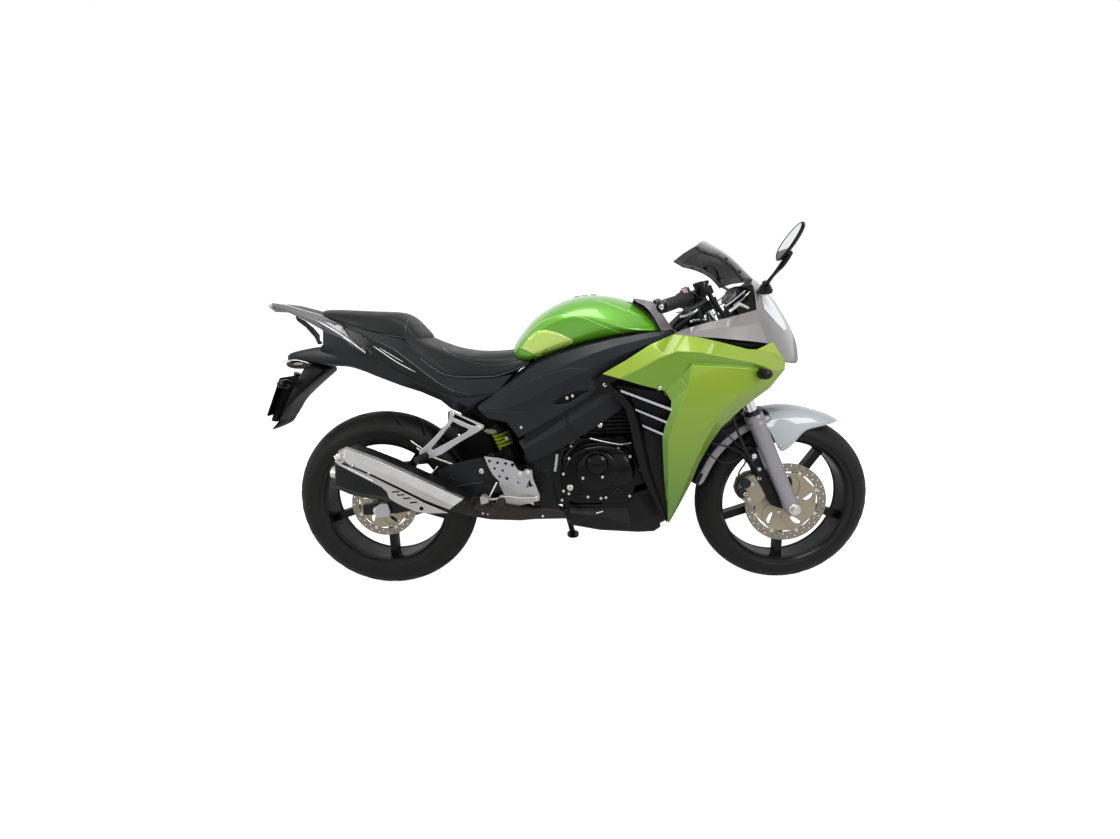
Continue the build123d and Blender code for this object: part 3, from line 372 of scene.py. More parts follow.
# %% Moulded plastic, rubber and vinyl
def moulded(name, code, rough=0.45, grain_mm=1.0, depth_mm=0.12, specular=0.5):
    material, tree, shader = finish(name, code, Roughness=rough, Specular_IOR_Level=specular)
    grain(tree, shader, grain_mm, depth_mm)
    mottle(tree, shader, rough - 0.05, rough + 0.06, 60)
    return material


satin_black = moulded("black grained polypropylene", "#0b0b0c", 0.42, specular=0.15)
panel_black = moulded("satin black ABS", "#16181c", 0.3, 1.2, 0.04, specular=0.24)
dull_black = moulded("matt black polypropylene", "#060606", 0.6, 1.4, 0.2, specular=0.1)
smooth_black = moulded("smooth black ABS", "#040505", 0.16, 3.0, 0.02, specular=0.25)
grip_rubber = moulded("grip rubber", "#0f0f10", 0.6, 1.5, 0.2, specular=0.3)
hose_rubber = moulded("hose rubber", "#080808", 0.45, 0.8, 0.05, specular=0.3)
tyre_rubber = moulded("tyre rubber", "#10100f", 0.55, 2.5, 0.12, specular=0.18)


def vinyl(name, code):
    material, tree, shader = finish(name, code, Roughness=0.4, Specular_IOR_Level=0.26)
    grain(tree, shader, 2.2, 0.12, 0.6, kind="ShaderNodeTexVoronoi")
    mottle(tree, shader, 0.38, 0.5, 40)
    return material


seat_vinyl = vinyl("seat vinyl", "#0e0f11")

# %% [markdown]
# **Metals.** Castings have an orange-peel skin about 3 mm across, turned and brushed steel has fine
# lines, and the silencer's shield is brushed stainless. A metal keeps the default IOR.

# %% Metals
def metal(name, code, rough=0.3, metallic=1.0, grain_mm=3.0, depth_mm=0.05, stretch=(1, 1, 1)):
    specular = 0.5 if metallic > 0.3 else 0.18
    material, tree, shader = finish(name, code, Metallic=metallic, Roughness=rough,
        Specular_IOR_Level=specular)
    grain(tree, shader, grain_mm, depth_mm, stretch=stretch)
    mottle(tree, shader, max(rough - 0.06, 0.02), rough + 0.08, 50)
    return material


cast_grey = metal("grey cast aluminium", "#a09c97", 0.42, 0.6)
cast_dark = metal("dark painted casting", "#222325", 0.42, 0.3)
satin_aluminium = metal("satin anodised aluminium", "#a9a8aa", 0.38, 0.75, 1.0, 0.03)
brushed_steel = metal("brushed stainless steel", "#aeadab", 0.34, 0.8, 1.2, 0.06, (0.08, 1, 1))
zinc_steel = metal("zinc plated steel", "#c4c2bd", 0.3, 0.9, 1.0, 0.02)
disc_steel = metal("ground disc steel", "#827b70", 0.36, 0.75, 0.9, 0.04)
chrome = metal("chrome plate", "#d9dadb", 0.08, 1.0, 6.0, 0.005)
fork_enamel = metal("grey enamel on fork legs", "#8d8b8f", 0.34, 0.35, 6.0, 0.005)
frame_enamel = metal("black enamel on steel", "#0c0d0e", 0.3, 0.0, 4.0, 0.05)
arm_enamel = metal("dark grey enamel on steel", "#1c1d1f", 0.36, 0.2, 4.0, 0.05)
engine_enamel = metal("gloss black engine enamel", "#020302", 0.14, 0.0, 5.0, 0.06)
pipe_paint = metal("heat resistant brown grey paint", "#2e2a26", 0.5, 0.3, 2.0, 0.1)
rim_enamel = metal("black enamel on cast rims", "#060707", 0.28, 0.0, 3.0, 0.05)
spring_paint = metal("yellow green spring paint", "#b3cc2f", 0.35, 0.0, 4.0, 0.03)
print("metal finishes are ready")


# %% [markdown]
# **Clear parts.** The screen is smoked polycarbonate, the lamp lens is clear and the tail lens red.

# %% Clear parts
def clear(name, code, transmission, rough=0.05, alpha=1.0, ior=1.5):
    material, tree, shader = finish(
        name, code, Transmission_Weight=transmission, Roughness=rough, IOR=ior, Alpha=alpha)
    return material


smoked_screen = clear("smoked polycarbonate", "#151414", 0.0, 0.08, 0.8)
clear_lens = clear("clear lens", "#e4e9ec", 0.0, 0.05)
red_lens = clear("red lens", "#5c1013", 0.2, 0.12)
amber_lens = clear("amber lens", "#c8761a", 0.3, 0.12)
mirror_glass, _, _ = finish("silvered glass", "#e8ebed", Metallic=1.0, Roughness=0.03)
print("clear finishes are ready")

# %% [markdown]
# **Vinyl stripes and piping.** Pinstripes are gloss vinyl film and the seat's piping is a smoother,
# darker vinyl than the cover.

# %% Stripes and piping
pale_stripe = lacquer("pale gloss pinstripe film", "#dcf0a4", "#d3ea98", metallic=0.0)
bright_stripe = lacquer("light green pinstripe film", "#a6ea6c", "#9be060", metallic=0.0)
silver_stripe = lacquer("silver stripe film", "#d7d9da", "#cbcdce", metallic=0.4)
seat_piping = moulded("smooth vinyl piping", "#242527", 0.36, 2.0, 0.03)
satin_edge = moulded("satin black moulding edge", "#2c2d31", 0.3, 2.0, 0.02)
silencer_coat = metal("black heat resistant coat", "#161718", 0.42, 0.2, 2.0, 0.04)
chain_steel = metal("oiled chain steel", "#4b4844", 0.38, 0.7, 2.0, 0.08)
sprocket_steel = metal("dull machined steel", "#6d6962", 0.42, 0.7, 1.5, 0.04)
rim_lip = metal("machined black rim edge", "#1b1c1d", 0.18, 0.2, 3.0, 0.02)
carrier_paint = metal("beige anodised carrier", "#948b78", 0.4, 0.6, 2.0, 0.03)
caliper_grey = metal("warm grey cast caliper", "#8b8475", 0.42, 0.5, 2.0, 0.05)
beam_enamel = metal("satin black enamel on pressed steel", "#17181b", 0.34, 0.0, 4.0, 0.04)
dark_red_lens = clear("dark red lens", "#1c0507", 0.0, 0.08)
dial_face = moulded("printed dial face", "#0c0c0d", 0.5, 2.0, 0.01)

# %% [markdown]
# # Stripes and trim that lie on another piece
# A pinstripe, a seam or a painted shield follows the panel under it. It is drawn in the side view,
# cut fine, and each of its points is dropped onto the panel from the side, like a transfer.

# %% Drop points onto a piece from the side
from mathutils.bvhtree import BVHTree


def skin_of(*things):
    """Gives a function: the distance from the middle plane where a side view meets the pieces."""
    bpy.context.view_layer.update()
    view = bpy.context.evaluated_depsgraph_get()
    trees = [BVHTree.FromObject(thing, view) for thing in things]
    ahead = parked.to_3x3() @ Vector(LEFT)
    ahead.normalize()
    upright = parked.inverted()

    def meet(x, z, otherwise):
        start = parked @ Vector((x, -700, z))
        hits = [tree.ray_cast(start, ahead) for tree in trees]
        hits = [(upright @ hit[0]).y for hit in hits if hit[0] is not None]
        return min(hits) if hits else otherwise

    return meet


def from_above(thing):
    """A function that gives the point and the normal that lie under a plan view point."""
    bpy.context.view_layer.update()
    tree = BVHTree.FromObject(thing, bpy.context.evaluated_depsgraph_get())
    turn, upright = parked.to_3x3(), parked.inverted()

    def meet(x, y):
        point, normal, _, _ = tree.ray_cast(parked @ Vector((x, y, 1300)),
            turn @ Vector((0, 0, -1000)))
        return upright @ point, (upright.to_3x3() @ normal).normalized()

    return meet


def smooth_line(knots, steps=8):
    """More points along a line through the knots (Catmull-Rom)."""
    knots = [Vector(k) for k in knots]
    ends = [knots[0] * 2 - knots[1]] + knots + [knots[-1] * 2 - knots[-2]]
    line = []
    for a, b, c, d in zip(ends, ends[1:], ends[2:], ends[3:]):
        for s in range(steps):
            t = s / steps
            line.append(0.5 * (2 * b + (c - a) * t + (2 * a - 5 * b + 4 * c - d) * t * t
                               + (3 * b - a - 3 * c + d) * t ** 3))
    return line + [knots[-1]]


def ribbon(name, knots, width, target, finish, lift=0.6, depth=1.2, steps=8, near=-150, **more):
    """A narrow strip along a side view line, laid on the pieces; its ends run to a point."""
    line = smooth_line([(x, z) for x, z in knots], steps)
    meet = skin_of(*target)
    rows = []
    for i, p in enumerate(line):
        along = (line[min(i + 1, len(line) - 1)] - line[max(i - 1, 0)]).normalized()
        half = width / 2 * min(1, 0.25 + i / 4, 0.25 + (len(line) - 1 - i) / 4)
        aside = Vector((-along.y, along.x)) * half
        a, b = p + aside, p - aside
        near = meet(p.x, p.y, near)
        rows.append([
            (a.x, meet(a.x, a.y, near) + depth, a.y), (a.x, meet(a.x, a.y, near) - lift, a.y),
            (b.x, meet(b.x, b.y, near) - lift, b.y), (b.x, meet(b.x, b.y, near) + depth, b.y),
        ])
    more.setdefault("both", True)
    return loft(name, rows, finish, **more)


def transfer(name, outline, target, finish, cuts=3, lift=0.5, near=-150, **more):
    """A patch with a crisp outline, cut fine and laid on the pieces."""
    flat, faces = flat_fill(outline)
    shape = bmesh.new()
    corners = [shape.verts.new((x, z, 0)) for x, z in flat]
    for face in faces:
        shape.faces.new([corners[i] for i in face])
    for _ in range(cuts):
        long_edges = [e for e in shape.edges if e.calc_length() > 9]
        bmesh.ops.subdivide_edges(shape, edges=long_edges, cuts=1)
        bmesh.ops.triangulate(shape, faces=shape.faces[:])
    meet = skin_of(*target)
    shape.verts.index_update()
    points = [(v.co.x, meet(v.co.x, v.co.y, near) - lift, v.co.y) for v in shape.verts]
    faces = [tuple(v.index for v in f.verts) for f in shape.faces]
    shape.free()
    more.setdefault("both", True)
    return piece(name, points, faces, finish, wall=0.4, **more)


def hull_rows(sections):
    """Closed rings across the bike from half sections of (half width, height), bottom to top."""
    rings = []
    for x, half in sections:
        right = [(x, -w, z) for w, z in half]
        left = [(x, w, z) for w, z in reversed(half) if w > 0]
        rings.append(right + left)
    return rings


print("transfers are ready")
# %% [markdown]
# # The CAD pieces that stay in view
# A CAD solid that is already the right shape keeps its place and only gets a finish and soft edges.

# %% Finishes for the CAD pieces
kept = {
    "frame": (frame_enamel, 2), "swingarm": (arm_enamel, 3), "engine_block": (engine_enamel, 4),
    "cylinder": (cast_dark, 1), "engine_covers": (engine_enamel, 5), "radiator": (dull_black, 2),
    "exhaust_pipe": (pipe_paint, 0), "silencer": (satin_black, 4),
    "silencer_shield": (brushed_steel, 0.6),
    "fuel_tank": (tank_lacquer, 8), "side_covers": (satin_black, 3), "rider_seat": (seat_vinyl, 8),
    "pillion_seat": (seat_vinyl, 8), "tail_cowls": (satin_black, 3), "grab_rail": (grey_lacquer, 2),
    "rear_fender": (dull_black, 3), "number_plate": (satin_black, 0.5), "tail_lamp": (red_lens, 4),
    "indicators": (smooth_black, 5), "side_fairings": (lime_lacquer, 1),
    "inner_panels": (satin_black, 1),
    "belly_pan": (satin_black, 1), "upper_cowl": (grey_lacquer, 1), "headlamp": (clear_lens, 2),
    "windscreen": (smoked_screen, 0.5), "mirrors": (satin_black, 3),
    "instruments": (satin_black, 4),
    "rear_shock": (spring_paint, 1), "pillion_brackets": (satin_aluminium, 2),
    "rider_footrests": (satin_aluminium, 1.5), "chain": (chain_steel, 0.5),
    "chain_guard": (satin_black, 3),
    "rear_axle": (zinc_steel, 0.6), "fork_legs": (fork_enamel, 2), "fork_yokes": (cast_dark, 3),
    "handlebars": (frame_enamel, 1.5), "grips": (grip_rubber, 2),
    "front_fender": (silver_lacquer, 1),
    "front_axle": (zinc_steel, 0.6), "front_caliper": (cast_dark, 4),
    "brake_hose": (hose_rubber, 0),
    "front_tyre": (tyre_rubber, 2), "front_rim": (rim_enamel, 2), "front_disc": (disc_steel, 0.4),
    "rear_tyre": (tyre_rubber, 2), "rear_rim": (rim_enamel, 2), "rear_disc": (disc_steel, 0.4),
    "rear_sprocket": (sprocket_steel, 0.8), "side_stand": (frame_enamel, 1.5),
}
for name, (skin, rounding) in kept.items():
    solid = nodes[name]
    solid.data.materials.clear()
    solid.data.materials.append(skin)
    if rounding:
        edge = solid.modifiers.new("edges", "BEVEL")
        edge.width, edge.segments, edge.limit_method = rounding / 1000, 2, "ANGLE"
        edge.angle_limit, edge.harden_normals = radians(30), True
print("finished CAD pieces:", len(kept), "without a finish:", sorted(set(nodes) - set(kept)))
# %% [markdown]
# # The side fairing
# Each side fairing is one moulding of painted ABS with hard creases: a band that runs along the
# top and round to the nose, a trough under it, a raised field with an upright crease, and a strip
# that turns in along the front. The ear above the band is drawn in a lighter copy of the lime, a
# painted highlight, and the trough and the faces behind the upright crease in a darker copy, a
# painted shade. It could be sculpted, but the creases are straight enough to write as rows of
# corners, which keeps them crisp after the edges are rounded.

# %% Rows of corners, and the fairing
def rows_piece(name, patches, finish, **more):
    """Strips of faces between rows of points; rows in one patch have the same length."""
    shapes = []
    for rows in patches:
        wide = len(rows[0])
        faces = [
            (r * wide + i, r * wide + i + 1, (r + 1) * wide + i + 1, (r + 1) * wide + i)
            for r in range(len(rows) - 1) for i in range(wide - 1)
        ]
        shapes.append(([p for row in rows for p in row], faces))
    points, faces = join_shapes(shapes)
    return piece(name, points, faces, finish, **more)


band_top = [
    (742, -233, 760), (811, -233, 798), (880, -232, 841), (948, -229, 869), (1014, -228, 860),
    (1087, -223, 842), (1167, -210, 820), (1211, -200, 817), (1254, -188, 802), (1292, -176, 777),
]
band_low = [
    (793, -242, 745), (849, -248, 773), (905, -253, 803), (952, -256, 820), (1013, -258, 817),
    (1078, -256, 804), (1161, -246, 785), (1212, -232, 768), (1252, -214, 754), (1286, -186, 757),
]
field_top = [(993, -263, 782), (1073, -260, 775), (1155, -248, 767), (1213, -232, 754)]
trough = [(999, -249, 788), (1079, -247, 781), (1162, -238, 771), (1214, -229, 757)]
upright_crease = [
    (993, -263, 782), (984, -262, 717), (963, -259, 662), (942, -252, 599), (932, -248, 563),
    (934, -241, 500), (937, -233, 436), (939, -224, 370), (942, -214, 294),
]
front_crease = [
    (1213, -232, 754), (1189, -232, 714), (1120, -238, 670), (1073, -237, 611), (1044, -234, 554),
    (1017, -230, 493), (995, -224, 432), (974, -218, 364), (946, -212, 294),
]
field_rows = [
    field_top,
    [upright_crease[1], (1065, -256, 708), (1143, -243, 702), front_crease[1]],
    [upright_crease[2], (1027, -253, 651), (1087, -244, 645), front_crease[2]],
    [upright_crease[3], (998, -249, 598), (1043, -242, 595), front_crease[3]],
    [upright_crease[4], (979, -245, 555), (1016, -240, 550), front_crease[4]],
    [upright_crease[5], (973, -238, 499), (1001, -233, 494), front_crease[5]],
    [upright_crease[6], (964, -230, 435), (983, -227, 433), front_crease[6]],
    [upright_crease[7], (955, -222, 365), (968, -219, 364), front_crease[7]],
]
front_edge = [
    (1286, -186, 757), (1244, -190, 702), (1163, -198, 645), (1102, -202, 589), (1068, -202, 537),
    (1036, -201, 475), (1011, -200, 408), (984, -199, 353), (947, -206, 288),
]
fold = [(851, -238, 726), (923, -237, 706), (941, -238, 677)]
rear_edge = [
    (941, -238, 677), (939, -238, 641), (925, -236, 606), (917, -234, 566), (922, -228, 497),
    (927, -221, 432), (935, -214, 366), (943, -210, 293),
]
tip = [field_rows[-1][0], field_rows[-1][1], field_rows[-1][2], field_rows[-1][3]]
side_fairings = rows_piece("fairing_shell", [
    [[(1195, -204, 818), (1195, -204, 818)], [(1249, -182, 837), (1254, -188, 802)],
     [(1249, -182, 837), (1292, -176, 777)]],
    [[band_low[7], band_low[8], band_low[9]], [field_top[3], (1246, -214, 749), front_edge[0]]],
    field_rows,
    [tip, [upright_crease[8], upright_crease[8], front_crease[8], front_crease[8]]],
    [front_crease, front_edge],
], lime_lacquer, hides=["side_fairings"], wall=3.5, bevel=2.2, sharp=7, both=True)
rows_piece("fairing_band", [[band_top, band_low]], lime_lacquer, wall=3.5, bevel=2.2, sharp=22,
    both=True)
# The trough, the faces under the band's rear and the strip behind the upright crease get the darker
# copy of the lime: painted shade
rows_piece("fairing_recess", [
    [[band_low[0], band_low[1]], [band_low[0], fold[0]]],
    [[band_low[1], band_low[2]], [fold[0], fold[1]]],
    [[band_low[2], band_low[3], band_low[4]], [fold[1], (964, -247, 744), trough[0]]],
    [band_low[4:8], trough],
    [trough, field_top],
    [[fold[1], (964, -247, 744), trough[0]], [fold[2], upright_crease[1], upright_crease[0]]],
    [[fold[2], upright_crease[1]], [rear_edge[1], upright_crease[2]],
    [rear_edge[2], upright_crease[3]],
     [rear_edge[3], upright_crease[4]], [rear_edge[4], upright_crease[5]],
     [rear_edge[5], upright_crease[6]],
     [rear_edge[6], upright_crease[7]], [rear_edge[7], upright_crease[8]]],
], shaded_lime, wall=3.5, bevel=2.2, sharp=7, both=True)
print("fairing faces:", len(side_fairings.data.polygons))

# %% [markdown]
# The ear by the nose, above the band's lower crease, gets a lighter copy of the lime: a painted
# highlight where it turns up to the light. It is given by where a face lies, so it ends at a
# crease.

# %% Painting faces by where they lie
def paint(thing, skin, test):
    """Gives a second finish to the faces whose middle, in upright millimetres, passes the test."""
    thing.data.materials.append(skin)
    slot = len(thing.data.materials) - 1
    upright = parked.inverted()
    count = 0
    for face in thing.data.polygons:
        x, y, z = upright @ face.center
        if test(x, abs(y), z):
            face.material_index = slot
            count += 1
    print(thing.name, "has", count, "faces in", skin.name)


def above_band(x, y, z):
    """True above the band's lower crease."""
    for (xa, _, za), (xb, _, zb) in zip(band_low, band_low[1:]):
        if xa <= x <= xb:
            return z > za + (zb - za) * (x - xa) / (xb - xa) - 1
    return x > band_low[-1][0] and z > 745


paint(side_fairings, lit_lime, above_band)

# %% [markdown]
# **Inner panel.** Behind the green shell sits a black panel with a raised rim, a deep recess and
# three silver-edged gills. A screw holds its upper corner.

# %% Inner panel with its gills
rim_outer = [
    (742, -226, 759), (719, -214, 732), (736, -212, 705), (778, -212, 689), (810, -213, 655),
    (825, -214, 603),
    (837, -213, 538), (855, -212, 469), (880, -210, 404), (909, -208, 345), (940, -208, 289),
]
rim_inner = [
    (794, -234, 744), (765, -226, 732), (771, -224, 717), (800, -223, 701), (833, -223, 653),
    (848, -222, 601),
    (860, -220, 540), (876, -217, 470), (895, -214, 412), (917, -211, 359), (940, -209, 292),
]
recess = [
    (801, -220, 736), (785, -200, 723), (791, -200, 714), (821, -200, 695), (850, -200, 646),
    (866, -200, 597),
    (875, -200, 534), (891, -200, 465), (906, -200, 410), (922, -203, 362), (941, -206, 294),
]
back = [
    (854, -212, 720), (915, -205, 699), (939, -205, 675), (939, -205, 663), (939, -205, 639),
    (940, -204, 596),
    (938, -204, 534), (939, -204, 465), (939, -204, 411), (940, -205, 363), (944, -206, 294),
]
rows_piece(
    "inner_panel_rim", [[rim_outer, rim_inner, recess, back]], satin_black, hides=["inner_panels"],
    wall=3,
    bevel=2.5, sharp=15, both=True)


def gill(start, end, width, depth):
    """One blade: a bright outer lip and a black web that runs into the recess."""
    (xa, ya, za), (xb, yb, zb) = start, end
    lip = [(xa, ya, za), (xb, yb, zb), (xb - 2, yb, zb - width), (xa + 3, ya, za - width)]
    back_lip = [(x, y + 4, z) for x, y, z in lip]
    faces = [(0, 1, 2, 3), (7, 6, 5, 4), (0, 4, 5, 1), (1, 5, 6, 2), (2, 6, 7, 3), (3, 7, 4, 0)]
    web = [(x, y + 4, z) for x, y, z in lip] + [(x, y + 4 + depth, z - 6) for x, y, z in lip]
    return (lip + back_lip, faces), (web, faces)


gills = [
    gill((794, -232, 713), (961, -243, 648), 8, 30),
    gill((838, -229, 655), (946, -240, 610), 7, 26),
    gill((859, -226, 606), (932, -237, 575), 7, 22),
]
piece("gill_lips", *join_shapes([g[0] for g in gills]), silver_lacquer, bevel=1.2, both=True)
piece("gill_webs", *join_shapes([g[1] for g in gills]), dull_black, bevel=1, both=True)
bolts("panel_screws", [((751, -219, 727), RIGHT), ((908, -240, 716), (0.1, -1, -0.2))], zinc_steel,
      radius=6, height=3, both=True)
# %% [markdown]
# # The nose, its lamp and the screen
# The grey upper cowl wraps round the nose and runs back beside the cockpit. Its sides are rows of
# sections across the bike; one subdivision rounds them as a moulding is rounded.

# %% Nose sections: x, then (half width, height) from the lower edge to the middle
nose_sections = [
    (1190, [(186, 814), (181, 850), (176, 893), (170, 940), (152, 986), (151, 988), (150, 990)]),
    (1203, [(184, 806), (178, 845), (172, 890), (162, 940), (140, 990), (124, 1006), (114, 1012)]),
    (1240, [(176, 786), (168, 835), (158, 884), (142, 935), (112, 988), (60, 1030), (0, 1044)]),
    (1262, [(168, 780), (160, 824), (149, 868), (130, 918), (98, 966), (50, 1006), (0, 1020)]),
    (1290, [(155, 776), (147, 813), (134, 852), (110, 900), (80, 944), (40, 982), (0, 995)]),
    (1318, [(136, 770), (129, 800), (116, 835), (93, 876), (66, 914), (34, 948), (0, 960)]),
    (1345, [(112, 766), (105, 790), (93, 818), (74, 851), (52, 882), (28, 908), (0, 918)]),
    (1372, [(78, 764), (72, 781), (62, 803), (49, 827), (35, 850), (19, 869), (0, 877)]),
    (1390, [(40, 776), (37, 786), (32, 800), (26, 815), (18, 828), (10, 837), (0, 841)]),
    (1395, [(16, 800), (15, 804), (13, 810), (10, 816), (7, 821), (4, 825), (0, 826)]),
]
nose_rows = [[(x, -half, z) for half, z in section] for x, section in nose_sections]
full_rows = [row + [(x, -y, z) for x, y, z in reversed(row[:-1])] for row in nose_rows]
nose = rows_piece("nose_shell", [full_rows[1:]], grey_lacquer, hides=["upper_cowl", "headlamp"],
    wall=3, levels=2)


nose_top = from_above(nose)
ridge_rows = []
for k in range(20):
    half = 36 * min(1, 0.3 + k / 5, 0.15 + (19 - k) / 7)
    ridge_rows.append([nose_top(1246 + 7 * k, half * share)[0] + Vector((0.4, 0, 0.9))
        for share in (-1, -0.5, 0, 0.5, 1)])
# The lime ridge on the nose is drawn in the lighter copy of the lime: lime paint with a painted
# highlight
rows_piece("nose_ridge", [ridge_rows], lit_lime, wall=1)
lens_outline = [(1227, 975), (1268, 974), (1289, 952), (1314, 916), (1339, 872), (1315, 865),
    (1291, 883),
                (1260, 909), (1234, 934)]
transfer("headlamp_lens", lens_outline, [nose], clear_lens, cuts=4, lift=1.2, near=-70, both=True)

# %% Cowl sides beside the cockpit
side_top = [(958, -212, 872), (999, -206, 886), (1058, -198, 901), (1112, -190, 911),
    (1165, -176, 923),
            (1206, -160, 933)]
side_crease = [(949, -226, 868), (996, -219, 874), (1060, -212, 881), (1120, -204, 884),
    (1169, -194, 888),
               (1208, -182, 896)]
side_low = [(948, -229, 867), (1014, -228, 860), (1076, -220, 854), (1130, -212, 847),
    (1180, -203, 841),
            (1231, -190, 834)]
rows_piece(
    "cowl_sides", [[[(x, y + 16, z - 2) for x, y, z in side_top], side_top, side_crease, side_low]],
    grey_lacquer,
    wall=3, bevel=2, sharp=10, both=True)
vent_floor = [(1018, -214, 858), (1092, -208, 842), (1171, -196, 819), (1215, -188, 818)]
vent_roof = [(1018, -214, 861), (1092, -206, 853), (1171, -194, 842), (1233, -184, 835)]
rows_piece("cowl_vent", [[vent_roof, vent_floor]], dull_black, wall=3, both=True)

# %% [markdown]
# **Screen.** The screen is a thin smoked visor: a flat middle that slopes up to a pointed top, with
# side wings that sweep back. It is lofted between straight lines across it, so its folds stay flat.

# %% Screen
screen_pairs = [  # near edge, then the middle line
    ((1021, -151, 1115), (1088, 0, 1156)), ((1054, -151, 1095), (1115, 0, 1141)),
    ((1084, -148, 1088), (1148, 0, 1122)),
    ((1111, -138, 1076), (1174, 0, 1103)), ((1135, -128, 1061), (1200, 0, 1080)),
    ((1156, -120, 1042), (1227, 0, 1053)),
    ((1176, -116, 1016), (1257, 0, 1026)),
]
screen_lines = []
for edge, middle in screen_pairs:
    edge, middle = Vector(edge), Vector(middle)
    arch = Vector((0.5, 0, 0.86)) * 10
    shares = ((0, 0), (0.14, 0.5), (0.3, 0.9), (0.6, 0.7), (1, 0))
    screen_lines.append([tuple(edge + (middle - edge) * share + arch * swell)
        for share, swell in shares])
screen = rows_piece("screen_shell", [screen_lines], smoked_screen, hides=["windscreen"], wall=2.5,
    both=True, sharp=25)
tube("screen_edge", [line[0] for line in screen_lines], 2.2, smooth_black, both=True)
bolts("screen_screws", [(line[1], (0.3, -0.6, 0.7)) for line in (screen_lines[3], screen_lines[5])],
    smooth_black, radius=6,
      height=2.5, both=True)
print("screen faces:", len(screen.data.polygons))

# %% [markdown]
# # Fuel tank
# The tank is one pressed steel shell with a soft crown, a crease at its widest line and sides that
# pull in to the knee covers. Half sections across the bike carry the crease; one subdivision rounds
# the crown the way a press does. A pale shield, pinstripes and a grey front cover lie on it.

# %% Tank shell
tank_rows = [
    (466, 60, 802, 92, 806, 96, 812, 836), (484, 80, 796, 116, 802, 126, 826, 865),
    (512, 96, 792, 136, 800, 148, 856, 900), (545, 108, 797, 146, 806, 163, 885, 936),
    (600, 110, 817, 150, 828, 172, 915, 968), (650, 110, 832, 152, 846, 174, 927, 988),
    (700, 110, 844, 152, 858, 173, 925, 998), (745, 110, 852, 151, 866, 170, 912, 997),
    (790, 108, 860, 150, 872, 166, 897, 992), (835, 104, 866, 147, 876, 158, 886, 980),
    (875, 100, 871, 138, 877, 146, 883, 966), (915, 94, 873, 124, 878, 130, 883, 936),
    (948, 84, 874, 106, 878, 110, 883, 906), (966, 76, 874, 98, 877, 100, 880, 890),
]
tank_sections = []
for x, foot_half, foot, sill_half, sill, wide_half, wide, crown in tank_rows:
    rise = crown - wide
    tank_sections.append((x, [
        (foot_half, foot), (sill_half, sill), (wide_half * 0.99 + sill_half * 0.01, wide - 5),
        (wide_half, wide),
        (wide_half * 0.95, wide + rise * 0.26), (wide_half * 0.80, wide + rise * 0.62),
        (wide_half * 0.55, wide + rise * 0.86), (wide_half * 0.28, wide + rise * 0.97), (0, crown),
    ]))
tank = loft("tank_shell", hull_rows(tank_sections), tank_lacquer, hides=["fuel_tank"], levels=2,
    sharp=60)
print("tank shell faces:", len(tank.data.polygons))

# %% Tank cover, shield and pinstripes
gap_line = [(830, 969), (853, 962), (870, 948), (891, 926), (910, 904), (930, 886)]
transfer("tank_front_cover", gap_line + [(949, 882), (965, 885), (954, 904), (939, 928),
         (923, 953), (904, 968), (875, 973)], [tank], grey_lacquer, lift=2.0, near=-100)
ribbon("tank_cover_gap", gap_line, 4.5, [tank], dull_black, lift=0.9, near=-120)
shield = [
    (492, 835), (506, 855), (526, 873), (549, 886), (577, 889), (610, 880), (639, 867),
    (657, 856), (651, 846), (620, 830), (586, 817), (549, 801), (540, 812), (518, 825),
]
transfer("tank_shield", shield, [tank], shield_lacquer, near=-140)
ribbon("shield_edge", shield[4:12], 2.6, [tank], pale_stripe, lift=1.0, near=-150)
# A pale strip near the shield's upper left paints the highlight there
ribbon("shield_glint", [(495, 841), (518, 833), (537, 827)], 2.4, [tank], pale_stripe, lift=1.0,
    near=-130)
ribbon("tank_arc", [(510, 867), (534, 890), (562, 911), (596, 924), (629, 931), (659, 930),
       (694, 921), (741, 901), (780, 884), (820, 871)], 2.2, [tank], bright_stripe, lift=0.8)
ribbon("tank_flash", [(728, 979), (763, 965), (799, 951), (843, 933), (879, 920)], 2.0, [tank],
    bright_stripe,
       lift=0.6)

# %% Filler cap
cap_middle, cap_up = from_above(tank)(704, 0)
cap_middle = cap_middle - cap_up * 2.6
cap_across = cap_up.cross(Vector(LEFT))
turned("filler_cap_ring", cap_middle, cap_up, [(-10, 0), (-10, 38), (2, 38), (3, 36), (3, 30),
    (1, 29), (1, 0)], satin_aluminium, steps=64)
turned("filler_cap_lid", cap_middle, cap_up, [(0, 0), (0, 28), (2.4, 28), (4, 25), (4.4, 10),
    (4, 0)], smooth_black, steps=48)
bolts("filler_cap_screws", [(cap_middle + cap_up * 2.5 + cap_across * 33 * cos(a) + Vector((0,
    33 * sin(a), 0)), cap_up) for a in
      (0.5, 1.55, 2.6, 3.65, 4.7, 5.75)], zinc_steel, radius=3, height=2)

# %% [markdown]
# # Knee covers
# Under the tank, a satin black ABS cover runs from the seat up to the steering head. It has a
# raised shoulder, a vent slot and a lower lip that tucks behind the frame beam.

# %% Knee cover
knee_top = [(356, -150, 658), (412, -152, 698), (473, -154, 740), (546, -156, 788),
    (620, -158, 816), (696, -160, 839),
            (777, -160, 857), (862, -156, 870), (947, -146, 878), (966, -140, 879)]
knee_shoulder = [(361, -160, 657), (432, -168, 687), (496, -172, 723), (573, -175, 761),
    (643, -176, 788), (716, -176, 815),
                 (788, -172, 837), (860, -166, 852), (934, -154, 867), (965, -146, 873)]
knee_belly = [(364, -164, 651), (437, -172, 651), (506, -176, 674), (578, -178, 710),
    (636, -180, 739), (697, -180, 766),
              (763, -178, 796), (836, -174, 821), (915, -162, 851), (965, -150, 867)]
knee_fold = [(367, -164, 646), (440, -171, 646), (523, -172, 642), (592, -174, 672),
    (641, -176, 699), (690, -177, 729),
             (730, -178, 755), (821, -174, 800), (909, -162, 842), (965, -150, 864)]
